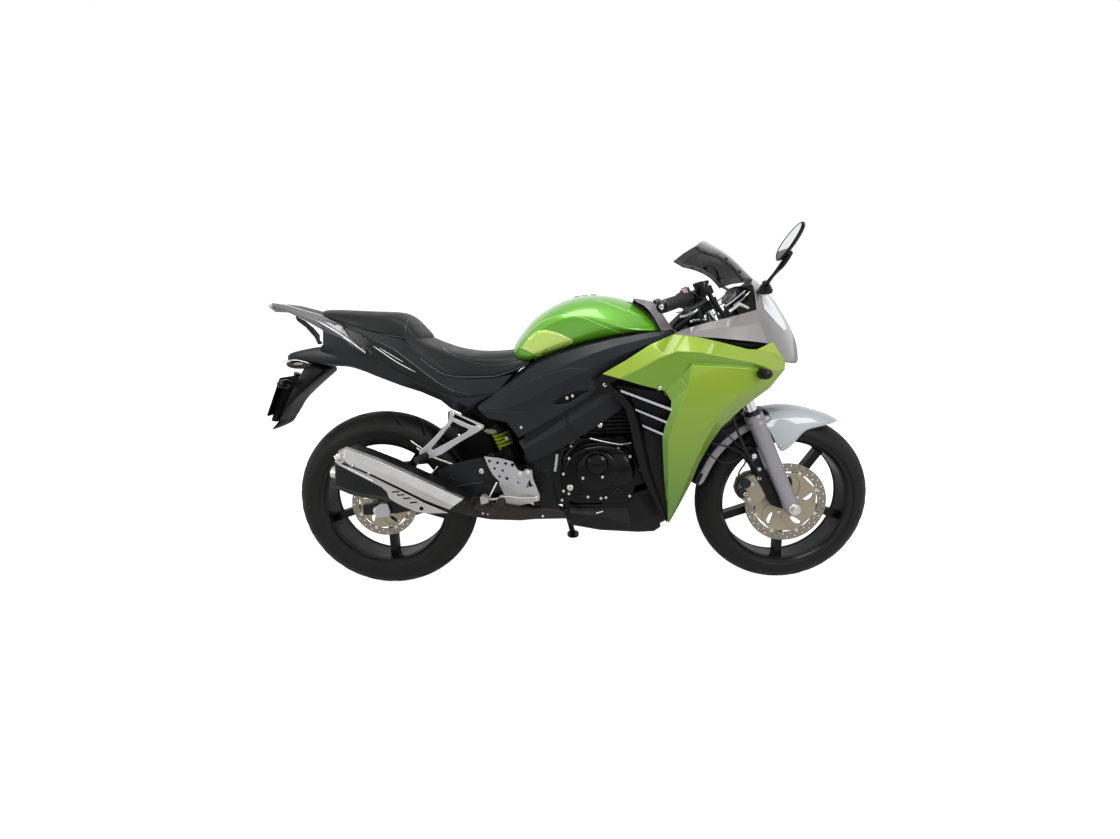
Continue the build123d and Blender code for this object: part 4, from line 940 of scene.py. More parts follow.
knee_low = [(386, -154, 623), (446, -158, 610), (484, -160, 559), (615, -162, 632),
    (677, -164, 669), (715, -166, 693),
            (739, -168, 726), (831, -166, 776), (913, -156, 827), (966, -146, 858)]
knee_tuck = [(x, y + 26, z + 2) for x, y, z in knee_low]
knee_in = [(x, y + 48, z + 12) for x, y, z in knee_top]
knee = rows_piece("knee_cover_shell", [[knee_in, knee_top, knee_shoulder, knee_belly, knee_fold,
    knee_low, knee_tuck]],
                  panel_black, hides=["side_covers"], wall=3, bevel=2, sharp=8, both=True)
ribbon("knee_crease", [(521, 732), (558, 750), (607, 765), (655, 773), (709, 769)], 1.6, [knee],
    satin_edge,
       lift=0.9)
vent = [(595, 669), (607, 681), (632, 693), (669, 706), (693, 706), (705, 702), (678, 686),
        (647, 671), (625, 666), (607, 664)]
transfer("knee_vent", vent, [knee], dull_black, lift=0.8, near=-174)
ribbon("knee_vent_lip", [(595, 668), (610, 660), (634, 662), (665, 679), (699, 699)], 1.8, [knee],
       satin_edge, lift=2.0, near=-174)
bolts("knee_screws", [((493, -166, 593), RIGHT), ((638, -179, 684), RIGHT),
    ((655, -179, 690), RIGHT)], zinc_steel,
      radius=4.5, height=3, both=True)
ribbon("knee_lower_crease", [(374, 648), (431, 646), (474, 641), (529, 641)], 1.4, [knee],
    satin_edge, lift=0.8)
print("knee covers are on")

# %% [markdown]
# # Two seats
# Each seat is firm foam under a stretched vinyl cover. The cover is sewn from a top panel and side
# panels with a raised seam, the foam is crowned, and the rider's part dips between the seams. A
# pressure simulation would only swell such firm foam, so its crown is set by rings across the bike
# and two subdivisions, and the sewn lines are laid on after them.

# %% Rider seat
rider_rows = [
    (116, 84, 862, 100, 868, 96, 892, 903), (134, 88, 846, 110, 854, 104, 888, 900),
    (182, 92, 800, 122, 812, 116, 862, 874), (222, 92, 770, 130, 780, 122, 846, 856),
    (262, 92, 748, 134, 758, 126, 829, 842), (314, 92, 742, 136, 752, 130, 814, 831),
    (366, 92, 741, 136, 751, 130, 806, 826), (414, 92, 741, 133, 751, 126, 803, 826),
    (455, 90, 752, 128, 762, 117, 806, 829), (492, 84, 768, 122, 776, 108, 812, 832),
    (520, 70, 782, 112, 790, 98, 812, 828), (536, 50, 792, 98, 797, 86, 808, 816),
]


def cushion(name, rows, hollow, **more):
    """A crowned cushion: rows give x, foot half and height, side, shoulder and crown."""
    sections = []
    for x, foot_half, foot, side_half, side, top_half, shoulder, crown in rows:
        rise, wide = crown - shoulder, (side_half + top_half) / 2
        sections.append((x, [
            (foot_half * 0.5, foot), (foot_half, foot), (side_half, side),
            (side_half + 1.5, side + 5),
            (wide + 3.5, (side + shoulder) / 2), (top_half + 3.0, shoulder - 5),
            (top_half, shoulder + 1),
            (top_half * 0.86, shoulder + rise * 0.45), (top_half * 0.6,
            shoulder + rise * 0.88 - hollow),
            (top_half * 0.3, crown - hollow), (0, crown - hollow * 0.6),
        ]))
    return loft(name, hull_rows(sections), seat_vinyl, levels=2, sharp=60, **more)


rider_seat = cushion("rider_cushion", rider_rows, 2, hides=["rider_seat"])

# %% Pillion seat
pillion_rows = [
    (-152, 34, 948, 52, 954, 50, 966, 973), (-128, 56, 940, 80, 946, 78, 962, 974),
    (-80, 70, 924, 98, 930, 92, 956, 972), (-20, 76, 906, 104, 912, 97, 948, 967),
    (30, 78, 892, 106, 898, 99, 942, 964), (72, 80, 882, 107, 888, 100, 938, 962),
    (104, 80, 874, 106, 882, 99, 934, 959), (128, 80, 868, 104, 876, 96, 922, 946),
    (148, 78, 866, 100, 872, 94, 904, 924), (166, 74, 864, 96, 869, 90, 884, 902),
    (180, 60, 862, 86, 866, 80, 874, 888),
]
pillion_seat = cushion("pillion_cushion", pillion_rows, 1, hides=["pillion_seat"])

# %% Sewn seams and the piping at the foot
rider_seam = [(246, 843), (277, 826), (332, 801), (407, 785), (478, 791), (525, 807)]
ribbon("rider_seam", rider_seam, 2.2, [rider_seat], seat_piping, lift=1.4, depth=1)
ribbon("rider_seam_low", [(213, 816), (263, 772), (324, 752), (405, 748), (468, 754)],
       1.6, [rider_seat], seat_piping, lift=0.7, depth=1)
ribbon("pillion_seam", [(-93, 930), (-32, 918), (37, 902), (100, 885), (127, 876)],
       1.8, [pillion_seat], seat_piping, lift=1.0, depth=1)
ribbon("pillion_panel", [(133, 935), (136, 916), (134, 894), (128, 876)], 2.4, [pillion_seat],
       seat_piping, lift=1.2, depth=1)
for name, line, at, where in (
        ("rider_piping", [(x, side - 1) for x, _, _, _, side, _, _, _ in rider_rows[1:-1]],
         [w for _, _, _, w, _, _, _, _ in rider_rows[1:-1]], rider_seat),
        ("pillion_piping", [(x, side - 1) for x, _, _, _, side, _, _, _ in pillion_rows[1:-1]],
         [w for _, _, _, w, _, _, _, _ in pillion_rows[1:-1]], pillion_seat)):
    tube(name, [(x, -w + 1, z) for (x, z), w in zip(line, at)], 2.6, seat_piping, both=True)
print("seat pieces are on")

# %% [markdown]
# # Tail cowl and grab rail
# The tail is a pair of black ABS side mouldings with a crease, a lower face that tucks under, and a
# gloss black inset. The grab rail is a flat aluminium blade, painted grey, that grows out of the
# cowl's upper edge and stands free behind the seat.

# %% Tail cowl
tail_top = [(-145, 942), (-72, 923), (30, 900), (124, 873), (192, 816), (259, 758),
            (335, 747), (404, 746), (468, 757)]
tail_crease = [(-130, 904), (-58, 878), (10, 839), (90, 790), (164, 748), (239, 712),
               (302, 692), (365, 694), (423, 706)]
tail_fold = [(-136, 861), (-61, 837), (25, 804), (97, 771), (159, 735), (225, 706),
             (278, 680), (325, 657), (384, 685)]
tail_low = [(-134, 838), (-57, 795), (23, 759), (106, 726), (173, 704), (236, 676),
            (267, 650), (306, 633), (363, 668)]


def at(points, distances):
    """Side view points placed at distances from the middle plane."""
    return [(x, -y, z) for (x, z), y in zip(points, distances)]


tail_top_row = at(tail_top, [88, 100, 107, 112, 119, 126, 130, 133, 135])
tail_high_row = [(x, y - 4, z - 2) for x, y, z in tail_top_row]
tail_crease_row = at(tail_crease, [98, 110, 117, 123, 129, 134, 138, 141, 142])
tail_fold_row = at(tail_fold, [96, 106, 113, 119, 125, 131, 136, 139, 141])
tail_low_row = at(tail_low, [82, 92, 98, 104, 110, 116, 122, 128, 134])
tail_under_row = [(x, y + 26, z + 2) for x, y, z in tail_low_row]
tail_in_row = [(x, y + 24, z - 3) for x, y, z in tail_top_row]
tail = rows_piece("tail_shell", [[tail_in_row, tail_top_row, tail_high_row, tail_crease_row,
    tail_fold_row, tail_low_row,
                                  tail_under_row]], panel_black, hides=["tail_cowls"], wall=3,
                                  bevel=2, sharp=7, both=True)
deck = [[tail_in_row[i], (tail_in_row[i][0], -tail_in_row[i][1], tail_in_row[i][2])]
    for i in range(9)]
keel = [[tail_under_row[i], (tail_under_row[i][0], -tail_under_row[i][1], tail_under_row[i][2])]
    for i in range(9)]
rows_piece("tail_deck", [deck, keel, [keel[0], deck[0]]], dull_black, wall=3)
inset = [(-63, 920), (-1, 895), (101, 843), (162, 795), (230, 740), (279, 710), (339, 697),
         (403, 700), (346, 688), (298, 689), (239, 709), (164, 744), (89, 784), (9, 833),
         (-37, 874)]
transfer("tail_inset", inset, [tail], smooth_black, lift=1.2, near=-120)
grey_patch = [(-138, 945), (-97, 934), (-58, 919), (-61, 909), (-48, 890), (-18, 863), (10, 836),
              (-28, 852), (-65, 881), (-104, 907)]
transfer("tail_grey_panel", grey_patch, [tail], rail_grey, lift=1.0, near=-112, both=True)
ribbon("tail_stripe_long", [(34, 854), (66, 831), (109, 801), (165, 770)], 2.4, [tail],
    silver_stripe, lift=2.2)
ribbon("tail_stripe_short", [(54, 847), (91, 824), (128, 802)], 1.8, [tail], silver_stripe,
    lift=2.2)
ribbon("tail_crease_glint", [(232, 703), (275, 677), (322, 656)], 1.2, [tail], panel_black,
    lift=0.8)

# %% Grab rail
rail_top = [(-308, -52, 998), (-264, -62, 991), (-208, -74, 974), (-127, -92, 951),
    (-64, -104, 918), (-28, -110, 877), (9, -116, 834)]
rail_mid = [(-307, -56, 991), (-262, -68, 980), (-205, -82, 956), (-130, -98, 928),
    (-64, -110, 890), (-27, -115, 863), (10, -119, 833)]
rail_low = [(-304, -50, 969), (-254, -62, 966), (-198, -76, 941), (-128, -94, 904),
    (-65, -107, 872), (-29, -112, 852), (6, -117, 830)]
rail_back = [(x, y + 20, z) for x, y, z in rail_low]
rail_roof = [(x, y + 20, z) for x, y, z in rail_top]
rail = rows_piece("grab_rail_blade", [[rail_roof, rail_top, rail_mid, rail_low, rail_back,
    rail_roof]], rail_grey,
                  hides=["grab_rail"], bevel=2.5, sharp=8, both=True)
tail_bar = [(-301, -52, 982), (-321, -30, 988), (-343, 0, 991)]
tail_bar += [(x, -y, z) for x, y, z in reversed(tail_bar[:-1])]
tube("grab_rail_crossbar", tail_bar, 9, rail_grey)
ribbon("grab_rail_edge", [(-143, 936), (-103, 913), (-64, 889), (-27, 862), (8, 834)], 2.6,
    [rail, tail],
       silver_stripe, lift=1.4, near=-105)
rows_piece("rail_stay", [[
    [(-234, -60, 954), (-203, -66, 938), (-174, -72, 915), (-155, -76, 892)],
    [(-233, -58, 945), (-203, -64, 925), (-177, -70, 896), (-162, -76, 861)],
    [(-235, -50, 939), (-205, -56, 916), (-176, -62, 883), (-152, -68, 863)],
]], panel_black, wall=5, bevel=1.5, both=True)
print("tail pieces are on")

# %% [markdown]
# # Rear fender, tail lamp and plate holder
# The rear fender is one black moulding: a nose that carries the lamp, and a tongue that sweeps down
# behind the wheel with a dark blank plate on it. Its sections across the bike are rounded.

# %% Rear fender and lamp housing
def arched(x_z_top, x_z_low, half, round_mm=10):
    """A ring across the bike between a top and a low side view point."""
    (xt, zt), (xl, zl) = x_z_top, x_z_low
    dx, dz = (xl - xt), (zl - zt)
    ring = []
    for side, order in ((-1, (0.0, 0.12, 0.5, 0.88, 1.0)), (1, (1.0, 0.88, 0.5, 0.12, 0.0))):
        for share in order:
            w = half - (round_mm if share in (0.0, 1.0) else 0)
            ring.append((xt + dx * share, side * w, zt + dz * share))
    return ring


housing = [
    arched((-288, 825), (-289, 812), 44), arched((-273, 839), (-277, 808), 58),
    arched((-231, 847), (-236, 808), 66),
    arched((-182, 855), (-188, 800), 72), arched((-134, 860), (-135, 786), 76),
    arched((-81, 846), (-74, 788), 80),
    arched((-37, 820), (-35, 775), 82), arched((40, 789), (36, 748), 84),
    arched((141, 749), (138, 710), 84),
    arched((247, 701), (245, 668), 82),
]
loft("tail_unit", housing, panel_black, levels=1, bevel=0, sharp=40, hides=["rear_fender"])
tongue = [
    arched((-217, 813), (-140, 780), 56), arched((-234, 787), (-181, 756), 58),
    arched((-255, 754), (-233, 715), 58),
    arched((-277, 715), (-276, 682), 58), arched((-299, 675), (-305, 652), 58),
    arched((-321, 635), (-328, 613), 58),
    arched((-335, 604), (-360, 588), 54), arched((-337, 591), (-388, 570), 44),
]
loft("fender_tongue", tongue, satin_black, levels=1, sharp=40)
lamp_rings = [
    arched((-296, 807), (-293, 799), 46), arched((-282, 810), (-285, 787), 56),
    arched((-251, 813), (-258, 782), 62),
    arched((-217, 812), (-225, 781), 64), arched((-193, 803), (-199, 794), 62),
]
loft("tail_lamp_lens", lamp_rings, dark_red_lens, levels=1, hides=["tail_lamp"], sharp=40)
tube("lamp_lip", [(-294, -62, 810), (-264, -68, 814), (-229, -71, 814), (-200, -73, 803)], 1.6,
    chrome, both=True)

# %% Plate and its bracket
bracket_top, bracket_foot = (-299, 755), (-370, 605)
plate("plate_bracket", [(-311, 752), (-256, 758), (-244, 746), (-290, 733), (-355, 605),
    (-372, 609)], -38, 38, dull_black, bevel=1.5)
down = (Vector((bracket_foot[0], 0, bracket_foot[1])) - Vector((bracket_top[0], 0,
    bracket_top[1]))).normalized()
out = Vector((down.z, 0, -down.x))
if out.x > 0:
    out = -out
blank = []
for lift in (3, 6):
    for across_y, share in ((-68, 0.0), (68, 0.0), (72, 0.04), (72, 0.96), (68, 1.0), (-68, 1.0),
            (-72, 0.96), (-72, 0.04)):
        p = Vector((bracket_top[0], across_y, bracket_top[1])) + down * share * 140 + out * lift
        blank.append(p)
faces = [tuple(range(8)), tuple(range(15, 7, -1))] + [(i, (i + 1) % 8, (i + 1) % 8 + 8, i + 8)
    for i in range(8)]
piece("blank_plate", blank, faces, smooth_black, hides=["number_plate"], bevel=1)
bolts("plate_screws", [(Vector((bracket_top[0], y, bracket_top[1])) + down * 18 + out * 6, out)
    for y in (-50, 50)], zinc_steel,
      radius=5, height=2.5)
turned("plate_lamp", (bracket_top[0] + 16, 0, bracket_top[1] + 6), (-0.5, 0, -1),
    [(-6, 0), (-6, 12), (4, 12), (6, 9), (6, 0)], smooth_black, steps=32)


# %% Indicators
def bulb(start, way, long, radius):
    """A small streamlined indicator's stem and body."""
    way = Vector(way).normalized()
    stem = [(0, 0), (0, 7), (8, 6), (18, 6), (20, 0)]
    body = [(14, 0), (14, radius * 0.5), (18, radius * 0.85), (26, radius),
        (long * 0.7, radius * 0.94), (long * 0.9, radius * 0.7),
            (long, radius * 0.3), (long + 1, 0)]
    return turned_faces(start, way, stem, 20), turned_faces(start, way, body, 32)


front_bulbs = bulb((1196, -214, 750), (0.18, -1, 0.02), 66, 17)
rear_bulbs = bulb((-270, -64, 738), (-0.1, -1, 0.05), 64, 15)
piece("indicator_stems", *join_shapes([front_bulbs[0], rear_bulbs[0]]), hose_rubber, both=True)
piece("indicator_bodies", *join_shapes([front_bulbs[1], rear_bulbs[1]]), smooth_black,
    hides=["indicators"], both=True)
lens_caps = [
    turned_faces(Vector((1196, -214, 750)) + Vector((0.18, -1, 0.02)).normalized() * 44 + Vector((9,
    0, 0)), (1, -0.2, 0),
                 [(0, 0), (0, 12), (5, 10), (8, 5), (9, 0)], 24),
    turned_faces(Vector((-270, -64, 738)) + Vector((-0.1, -1, 0.05)).normalized() * 42 + Vector((-7,
    0, 0)), (-1, -0.2, 0),
                 [(0, 0), (0, 11), (5, 9), (8, 4), (9, 0)], 24)]
piece("indicator_lenses", *join_shapes(lens_caps), amber_lens, both=True)
print("rear unit is on")

# %% [markdown]
# # Silencer
# The silencer is a black steel can under a brushed stainless heat shield that is folded along its
# length: a broad upper face, a narrow black gap and a lower face with slots cut through it. The can
# is a loft of six-sided sections; the shield is a thin sheet folded along rows of points.

# %% Silencer can
def ring_at(px_top, px_low, near, far):
    """A bevelled box section of the can between two side view points."""
    (xt, zt), (xl, zl) = px_top, px_low
    across = [(0.0, 0.16), (0.16, 0.0), (0.84, 0.0), (1.0, 0.16), (1.0, 0.84), (0.84, 1.0),
        (0.16, 1.0), (0.0, 0.84)]
    return [(xt + (xl - xt) * b, near + (far - near) * a, zt + (zl - zt) * b) for a, b in across]


can_rings = [
    ring_at((-81, 515), (-87, 435), -212, -134), ring_at((-67, 535), (-86, 418), -222, -128),
    ring_at((-39, 547), (-46, 401), -228, -124), ring_at((9, 529), (-3, 389), -229, -122),
    ring_at((85, 495), (84, 376), -227, -120), ring_at((179, 447), (157, 351), -222, -118),
    ring_at((255, 407), (230, 336), -214, -118), ring_at((302, 378), (265, 331), -202, -120),
    ring_at((323, 365), (288, 327), -180, -124),
]
loft("silencer_can", can_rings, silencer_coat, hides=["silencer", "silencer_shield"], bevel=2.5,
    sharp=12)
turned("outlet_pipe", (-101, -172, 463), (-0.92, 0, 0.2), [(-30, 20), (6, 20), (10, 19), (10, 16),
    (-30, 16)], zinc_steel)

# %% Heat shield
shield_roof = [(-72, -196, 540), (-44, -200, 552), (50, -200, 515), (139, -198, 471),
    (228, -194, 423), (308, -184, 375)]
shield_edge_line = [(-68, -218, 533), (-40, -222, 549), (58, -223, 510), (146, -220, 466),
    (233, -214, 418), (306, -202, 375)]
shield_face = [(-72, -226, 520), (-41, -232, 524), (48, -234, 488), (130, -232, 446),
    (210, -226, 400), (279, -214, 358)]
shield_fold = [(-60, -228, 509), (-27, -235, 501), (44, -237, 470), (117, -235, 430),
    (192, -229, 385), (263, -216, 346)]
rows_piece("shield_upper", [[shield_roof, shield_edge_line, shield_face, shield_fold]],
    brushed_steel, wall=2,
                          bevel=1.2, sharp=8)
lower_face = [
    (-65, 522), (-48, 509), (-19, 494), (40, 466), (115, 423), (191, 378), (263, 343),
    (205, 343), (169, 348), (128, 366), (99, 384), (86, 394), (80, 415), (66, 430), (14, 460),
    (-27, 483), (-59, 502), (-71, 514),
]
def slot(x, z, long, high, slope):
    """A slanted slot with round ends."""
    along, up = Vector((cos(slope), sin(slope))), Vector((-sin(slope), cos(slope)))
    ends = []
    for end in (1, -1):
        for s in range(7):
            turn = pi * s / 6 - pi / 2
            ends.append(Vector((x, z)) + along * (end * (long / 2 + high / 2 * cos(turn)))
                + up * (end * high / 2 * sin(turn)))
    return [(p.x, p.y) for p in ends]


slot_places = [(108, 414), (122, 404), (140, 393), (160, 379)]
slots = [slot(x, z, 20, 4.5, 0.06) for x, z in slot_places]
hole = circle(183, 359, 6.5, 16)
plate("shield_lower", lower_face, -234, -230.5, brushed_steel, holes=slots + [hole], bevel=0.8,
    sharp=30)
plate("shield_slot_dark", [(82, 421), (113, 416), (177, 374), (205, 346), (165, 351), (121, 373),
      (88, 392)], -226, -225, dull_black)
gap_route = [(-47, -236, 508), (-17, -237, 497), (45, -238, 467), (116, -235, 425),
    (191, -229, 382), (266, -215, 344)]
tube("shield_gap", gap_route, 2.4, dull_black)
for index, (x, z) in enumerate(((-58, 528), (-16, 501), (32, 475))):
    bolts("shield_screw_%d" % index, [((x, -230 if index == 0 else -237, z), (0, -1, 0.1))],
        zinc_steel,
          radius=(9, 4, 4)[index], height=3)
tube("rear_shield_lip", [(-74, -224, 529), (-68, -229, 516), (-49, -233, 502), (-20, -234, 485),
    (41, -233, 450)], 1.6, chrome)

# %% Cover of the pipe under the engine
pipe_cover = [
    (258, 359), (317, 364), (355, 348), (477, 324), (600, 315), (626, 304), (625, 294), (573, 285),
    (475, 278), (377, 283), (312, 296), (248, 315), (202, 315),
]
plate("pipe_cover", pipe_cover, -146, -96, pipe_paint, bevel=5, sharp=30)
bolts("pipe_cover_screws", [((355, -146, 307), RIGHT), ((371, -146, 305), RIGHT),
    ((550, -146, 294), RIGHT)],
      zinc_steel, radius=4, height=2.5)
print("silencer pieces are on")

# %% [markdown]
# # Silver brackets
# The pillion bracket is a cast aluminium triangle whose bars have a raised edge, and the rider's
# footrest plate is drilled to save weight. Both are plates cut with holes, with rounded edges.

# %% Pillion bracket
bracket = [
    (276, 654), (294, 644), (379, 604), (378, 595), (359, 583), (300, 552), (241, 514), (212, 504),
    (186, 503), (169, 519), (179, 532), (220, 568), (267, 616), (273, 635),
]
upper_hole = [(283, 618), (298, 609), (331, 593), (324, 585), (276, 559), (214, 528), (209, 533),
              (242, 569)]
slit = [(284, 645), (354, 608), (353, 602), (338, 605), (287, 630)]
plate("pillion_bracket_plate", bracket, -176, -164, satin_aluminium, holes=[upper_hole, slit],
    bevel=2, sharp=30,
      hides=["pillion_brackets"], both=True)
bolts("pillion_bracket_screws", [((364, -176, 598), RIGHT), ((284, -176, 642), RIGHT)], zinc_steel,
    radius=7,
      height=4, both=True)
peg_start = (198, -176, 514)
peg_parts = [
    turned_faces(peg_start, RIGHT, [(-2, 0), (-2, 8), (8, 8), (8, 0)], 20),
    turned_faces((peg_start[0] - 3, peg_start[1] - 8, peg_start[2]), (-0.25, -1, 0),
                 [(0, 0), (0, 11), (56, 10), (60, 8), (60, 0)], 20),
]
piece("pillion_pegs", *join_shapes(peg_parts[:1]), zinc_steel, bevel=1, both=True)
piece("pillion_peg_rubbers", *join_shapes(peg_parts[1:]), grip_rubber, bevel=1, both=True)
plate("bracket_reinforcement", [(267, 648), (375, 597), (374, 578), (329, 573), (264, 606)], -164,
    -150,
      dull_black, bevel=2, both=True)

# %% Rider's footrest plate
rest = [
    (377, 509), (426, 502), (466, 490), (480, 462), (496, 458), (506, 466), (524, 461),
    (526, 437), (546, 378), (544, 363), (527, 362), (526, 348), (495, 362), (470, 363), (445, 376),
    (434, 409), (420, 429), (402, 449), (388, 478),
]
rest_holes = [circle(x, z, r, 18) for (x, z), r in [
    ((393, 494), 4.5), ((418, 488), 4.5), ((443, 485), 4.5), ((464, 480), 5.5), ((408, 470), 4),
    ((433, 463), 4), ((422, 444), 4), ((445, 437), 5), ((480, 423), 3.5)]]
window = [(517, 434), (519, 419), (527, 411), (502, 405)]
plate("footrest_plate", rest, -192, -184, satin_aluminium, holes=rest_holes + [window], bevel=1.4,
    sharp=30,
      hides=["rider_footrests"], both=True)
ribbon_top = [(420, 427), (466, 405), (528, 382)]
plate("footrest_rib", ribbon_top + [(528, 378), (464, 400), (421, 422)], -194, -191.6, cast_grey,
    bevel=0.6, both=True)
bolts("footrest_screws", [((511, -192, 452), RIGHT), ((533, -192, 370), RIGHT),
    ((486, -192, 448), RIGHT)], zinc_steel,
      radius=8, height=6, both=True)
spacers = [turned_faces((x, -184, z), LEFT, [(0, 0), (0, 10), (52, 10), (52, 0)], 18) for x, z in
           ((511, 450), (533, 369), (391, 496))]
piece("footrest_spacers", *join_shapes(spacers), cast_dark, both=True)
foot_x, foot_z = 428, 370
pegs = [
    turned_faces((foot_x, -186, foot_z), RIGHT, [(0, 0), (0, 14), (12, 14), (14, 11), (22, 11),
    (22, 0)], 24),
]
rubber = [(20, 0), (20, 11.5)]
for k in range(8):
    rubber += [(24 + k * 9, 11.5), (25 + k * 9, 13), (30 + k * 9, 13), (31 + k * 9, 11.5)]
rubber += [(98, 11), (98, 0)]
piece("footpeg_arms", *join_shapes(pegs), cast_grey, bevel=1, both=True)
turned("footpeg_rubbers", (foot_x, -186, foot_z), RIGHT, rubber, grip_rubber, steps=28, both=True)
tube("brake_pedal", [(534, -202, 376), (485, -204, 374), (445, -206, 385), (404, -208, 374),
    (373, -208, 377)], 3.6, cast_grey)
plate("brake_pedal_pad", [(365, 391), (375, 394), (390, 386), (391, 373), (367, 367)], -232, -204,
    cast_grey,
      bevel=1.5)
tube("brake_rod", [(413, -188, 425), (396, -192, 394), (384, -200, 371)], 3, zinc_steel)
tube("shift_pedal", [(x, -y, z) for x, y, z in ((596, -176, 382), (515, -200, 375),
    (447, -206, 375), (423, -206, 382))], 4.5,
     zinc_steel)
print("bracket pieces are on")

# %% [markdown]
# # Frame beams, engine covers and the rear suspension
# The box beams are pressed steel with a flat bevel along the top that catches the light. The
# engine's right cover is a gloss black casting with a stepped clutch dome, and plated bolts round
# its rim.

# %% Beams
beam_top = [(479, -140, 544), (560, -142, 589), (621, -144, 624), (687, -146, 660),
    (743, -146, 688), (797, -140, 719)]
beam_fold = [(495, -156, 520), (572, -158, 560), (636, -160, 597), (699, -160, 635),
    (748, -158, 665), (805, -150, 698)]
beam_low = [(515, -154, 475), (589, -156, 507), (669, -158, 553), (729, -158, 591),
    (795, -156, 634), (845, -148, 675)]
beam_tuck = [(x, y + 30, z + 4) for x, y, z in beam_low]
rows_piece("frame_beam_faces", [[beam_top, beam_fold, beam_low, beam_tuck]], beam_enamel, wall=3,
    bevel=2, sharp=8, both=True)
ribbon_line = [(624, -158, 628), (639, -164, 598), (657, -162, 568), (672, -160, 551)]
tube("beam_weld", ribbon_line, 1.8, beam_enamel, both=True)
plate("pivot_plate_face", [(490, 508), (521, 475), (589, 506), (611, 509), (597, 460), (586, 400),
    (594, 346),
      (613, 308), (544, 309), (542, 353), (525, 428), (507, 462)], -142, -134, frame_enamel,
      bevel=2, both=True)
bolts("pivot_bolts", [((561, -142, 438), RIGHT)], frame_enamel, radius=16, height=6, both=True)
plate("battery_box", [(247, 670), (355, 654), (478, 570), (499, 425), (445, 426), (400, 476),
    (340, 491), (295, 533),
      (265, 589)], 34, 78, dull_black, bevel=4)

plate("inner_mudguard", [(253, 588), (297, 608), (357, 557), (377, 477), (336, 434), (273, 457),
    (256, 516)], 20, 60,
      dull_black, bevel=4)
# No light shows behind the brake pedal, so a dark plate there paints that shade
plate("pedal_shade_plate", [(355, 371), (380, 395), (454, 393), (450, 306), (359, 307)], -92, -86,
    dull_black, bevel=1.5)
plate("heel_guard_foot", [(409, 399), (462, 419), (508, 425), (538, 344), (515, 334), (455, 320),
    (419, 320),
      (396, 340), (427, 358)], -131, -127, satin_aluminium, bevel=1.2, both=True)
bolts("heel_guard_bolt", [((417, -131, 339), RIGHT)], cast_grey, radius=9, height=6, both=True)
for k, line in enumerate(([(112, -70, 536), (155, -74, 505)], [(133, -78, 513), (175, -82, 479)],
        [(213, -126, 463), (184, -126, 430)])):
    tube("hose_clip_%d" % k, line, 3, zinc_steel)

# %% Engine covers
cover_rim = [
    (627, 358), (615, 398), (617, 444), (633, 482), (659, 509), (693, 526), (737, 530), (786, 524),
    (823, 507), (845, 478), (864, 445), (870, 413), (848, 400), (839, 364), (820, 340), (659, 342),
]
plate("engine_right_cover", cover_rim, -168, -136, engine_enamel, bevel=7, sharp=30,
    hides=["engine_covers"])
plate("engine_right_rim", [(x + (x - 740) * 0.045, z + (z - 440) * 0.045) for x, z in cover_rim],
    -146, -120, engine_enamel, bevel=2.5, sharp=30)
dome = (727, -168, 452)
turned("clutch_dome", dome, RIGHT, [(-4, 0), (-4, 66), (6, 66), (11, 63), (13, 58), (14, 50),
    (16, 0)], engine_enamel, steps=72, sharp=24)
turned("dome_cap", (726, -180, 477), RIGHT, [(-8, 0), (-8, 36), (6, 35), (14, 30), (18, 22),
    (20, 10), (20, 0)], engine_enamel,
       steps=64, sharp=24)
turned("cover_swell", (793, -168, 451), RIGHT, [(-8, 0), (-8, 54), (3, 52), (8, 42), (10, 28),
    (11, 0)], engine_enamel, steps=60, sharp=24)
turned("oil_filler_ring", (791, -168, 379), RIGHT, [(-4, 0), (-4, 13), (5, 13), (6.5, 11.5),
    (6.5, 9), (4, 8.4), (4, 0)], rim_lip, steps=32)
turned("oil_filler_plug", (791, -168, 379), RIGHT, [(3, 0), (3, 6.5), (8, 6), (8, 0)],
    engine_enamel, steps=8)
turned("sight_glass", (672, -168, 358), RIGHT, [(-4, 0), (-4, 14), (3, 14), (4, 12), (4, 9),
    (1, 8.6), (1, 0)], engine_enamel, steps=32)
rim_bolts = [
    (640, -170, 492), (621, -170, 442), (620, -170, 386), (637, -170, 377), (614, -150, 349),
    (697, -170, 365), (754, -170, 362),
    (830, -168, 494), (725, -160, 523), (794, -160, 517), (829, -168, 365), (682, -182, 431),
    (742, -196, 438), (738, -170, 360),
]
bolts("engine_bolts", [(p, (0, -1, 0.15)) for p in rim_bolts], zinc_steel, radius=4.6, height=4)
turned("water_joint", (641, -168, 398), RIGHT, [(-4, 0), (-4, 9.5), (8, 9.5), (9, 8), (9, 5.5),
    (5, 5), (5, 0)], zinc_steel, steps=24)
left_dome = (768, 84, 440)
turned("alternator_cover", left_dome, LEFT, [(-6, 0), (-6, 84), (10, 84), (20, 80), (26, 70),
    (28, 56), (30, 52), (32, 20), (32, 0)],
       engine_enamel, steps=72, sharp=24)
places = [((768 + 76 * cos(a), 100, 440 + 76 * sin(a)), LEFT)
    for a in (0.3, 1.2, 2.1, 3.0, 3.9, 4.8, 5.7)]
bolts("alternator_bolts", places, zinc_steel, radius=6, height=5)
turned("left_sprocket_cover", (640, 86, 430), LEFT, [(-10, 0), (-10, 58), (22, 56), (28, 50),
    (30, 0)], engine_enamel, steps=56, sharp=24)
bolts("sprocket_cover_bolts", [((640 + 48 * cos(a), 112, 430 + 48 * sin(a)), LEFT)
    for a in (0.6, 2.2, 4.0, 5.4)], zinc_steel,
      radius=5, height=4)
for index, (x, z) in enumerate((((715, 537)), ((754, 528)), ((786, 522)))):
    turned("head_stud_%d" % index, (x, -104, z), (0, -0.4, 1),
        [(-6, 0), (-6, 6), (4, 6), (6, 4), (6, 0)], zinc_steel, steps=6)
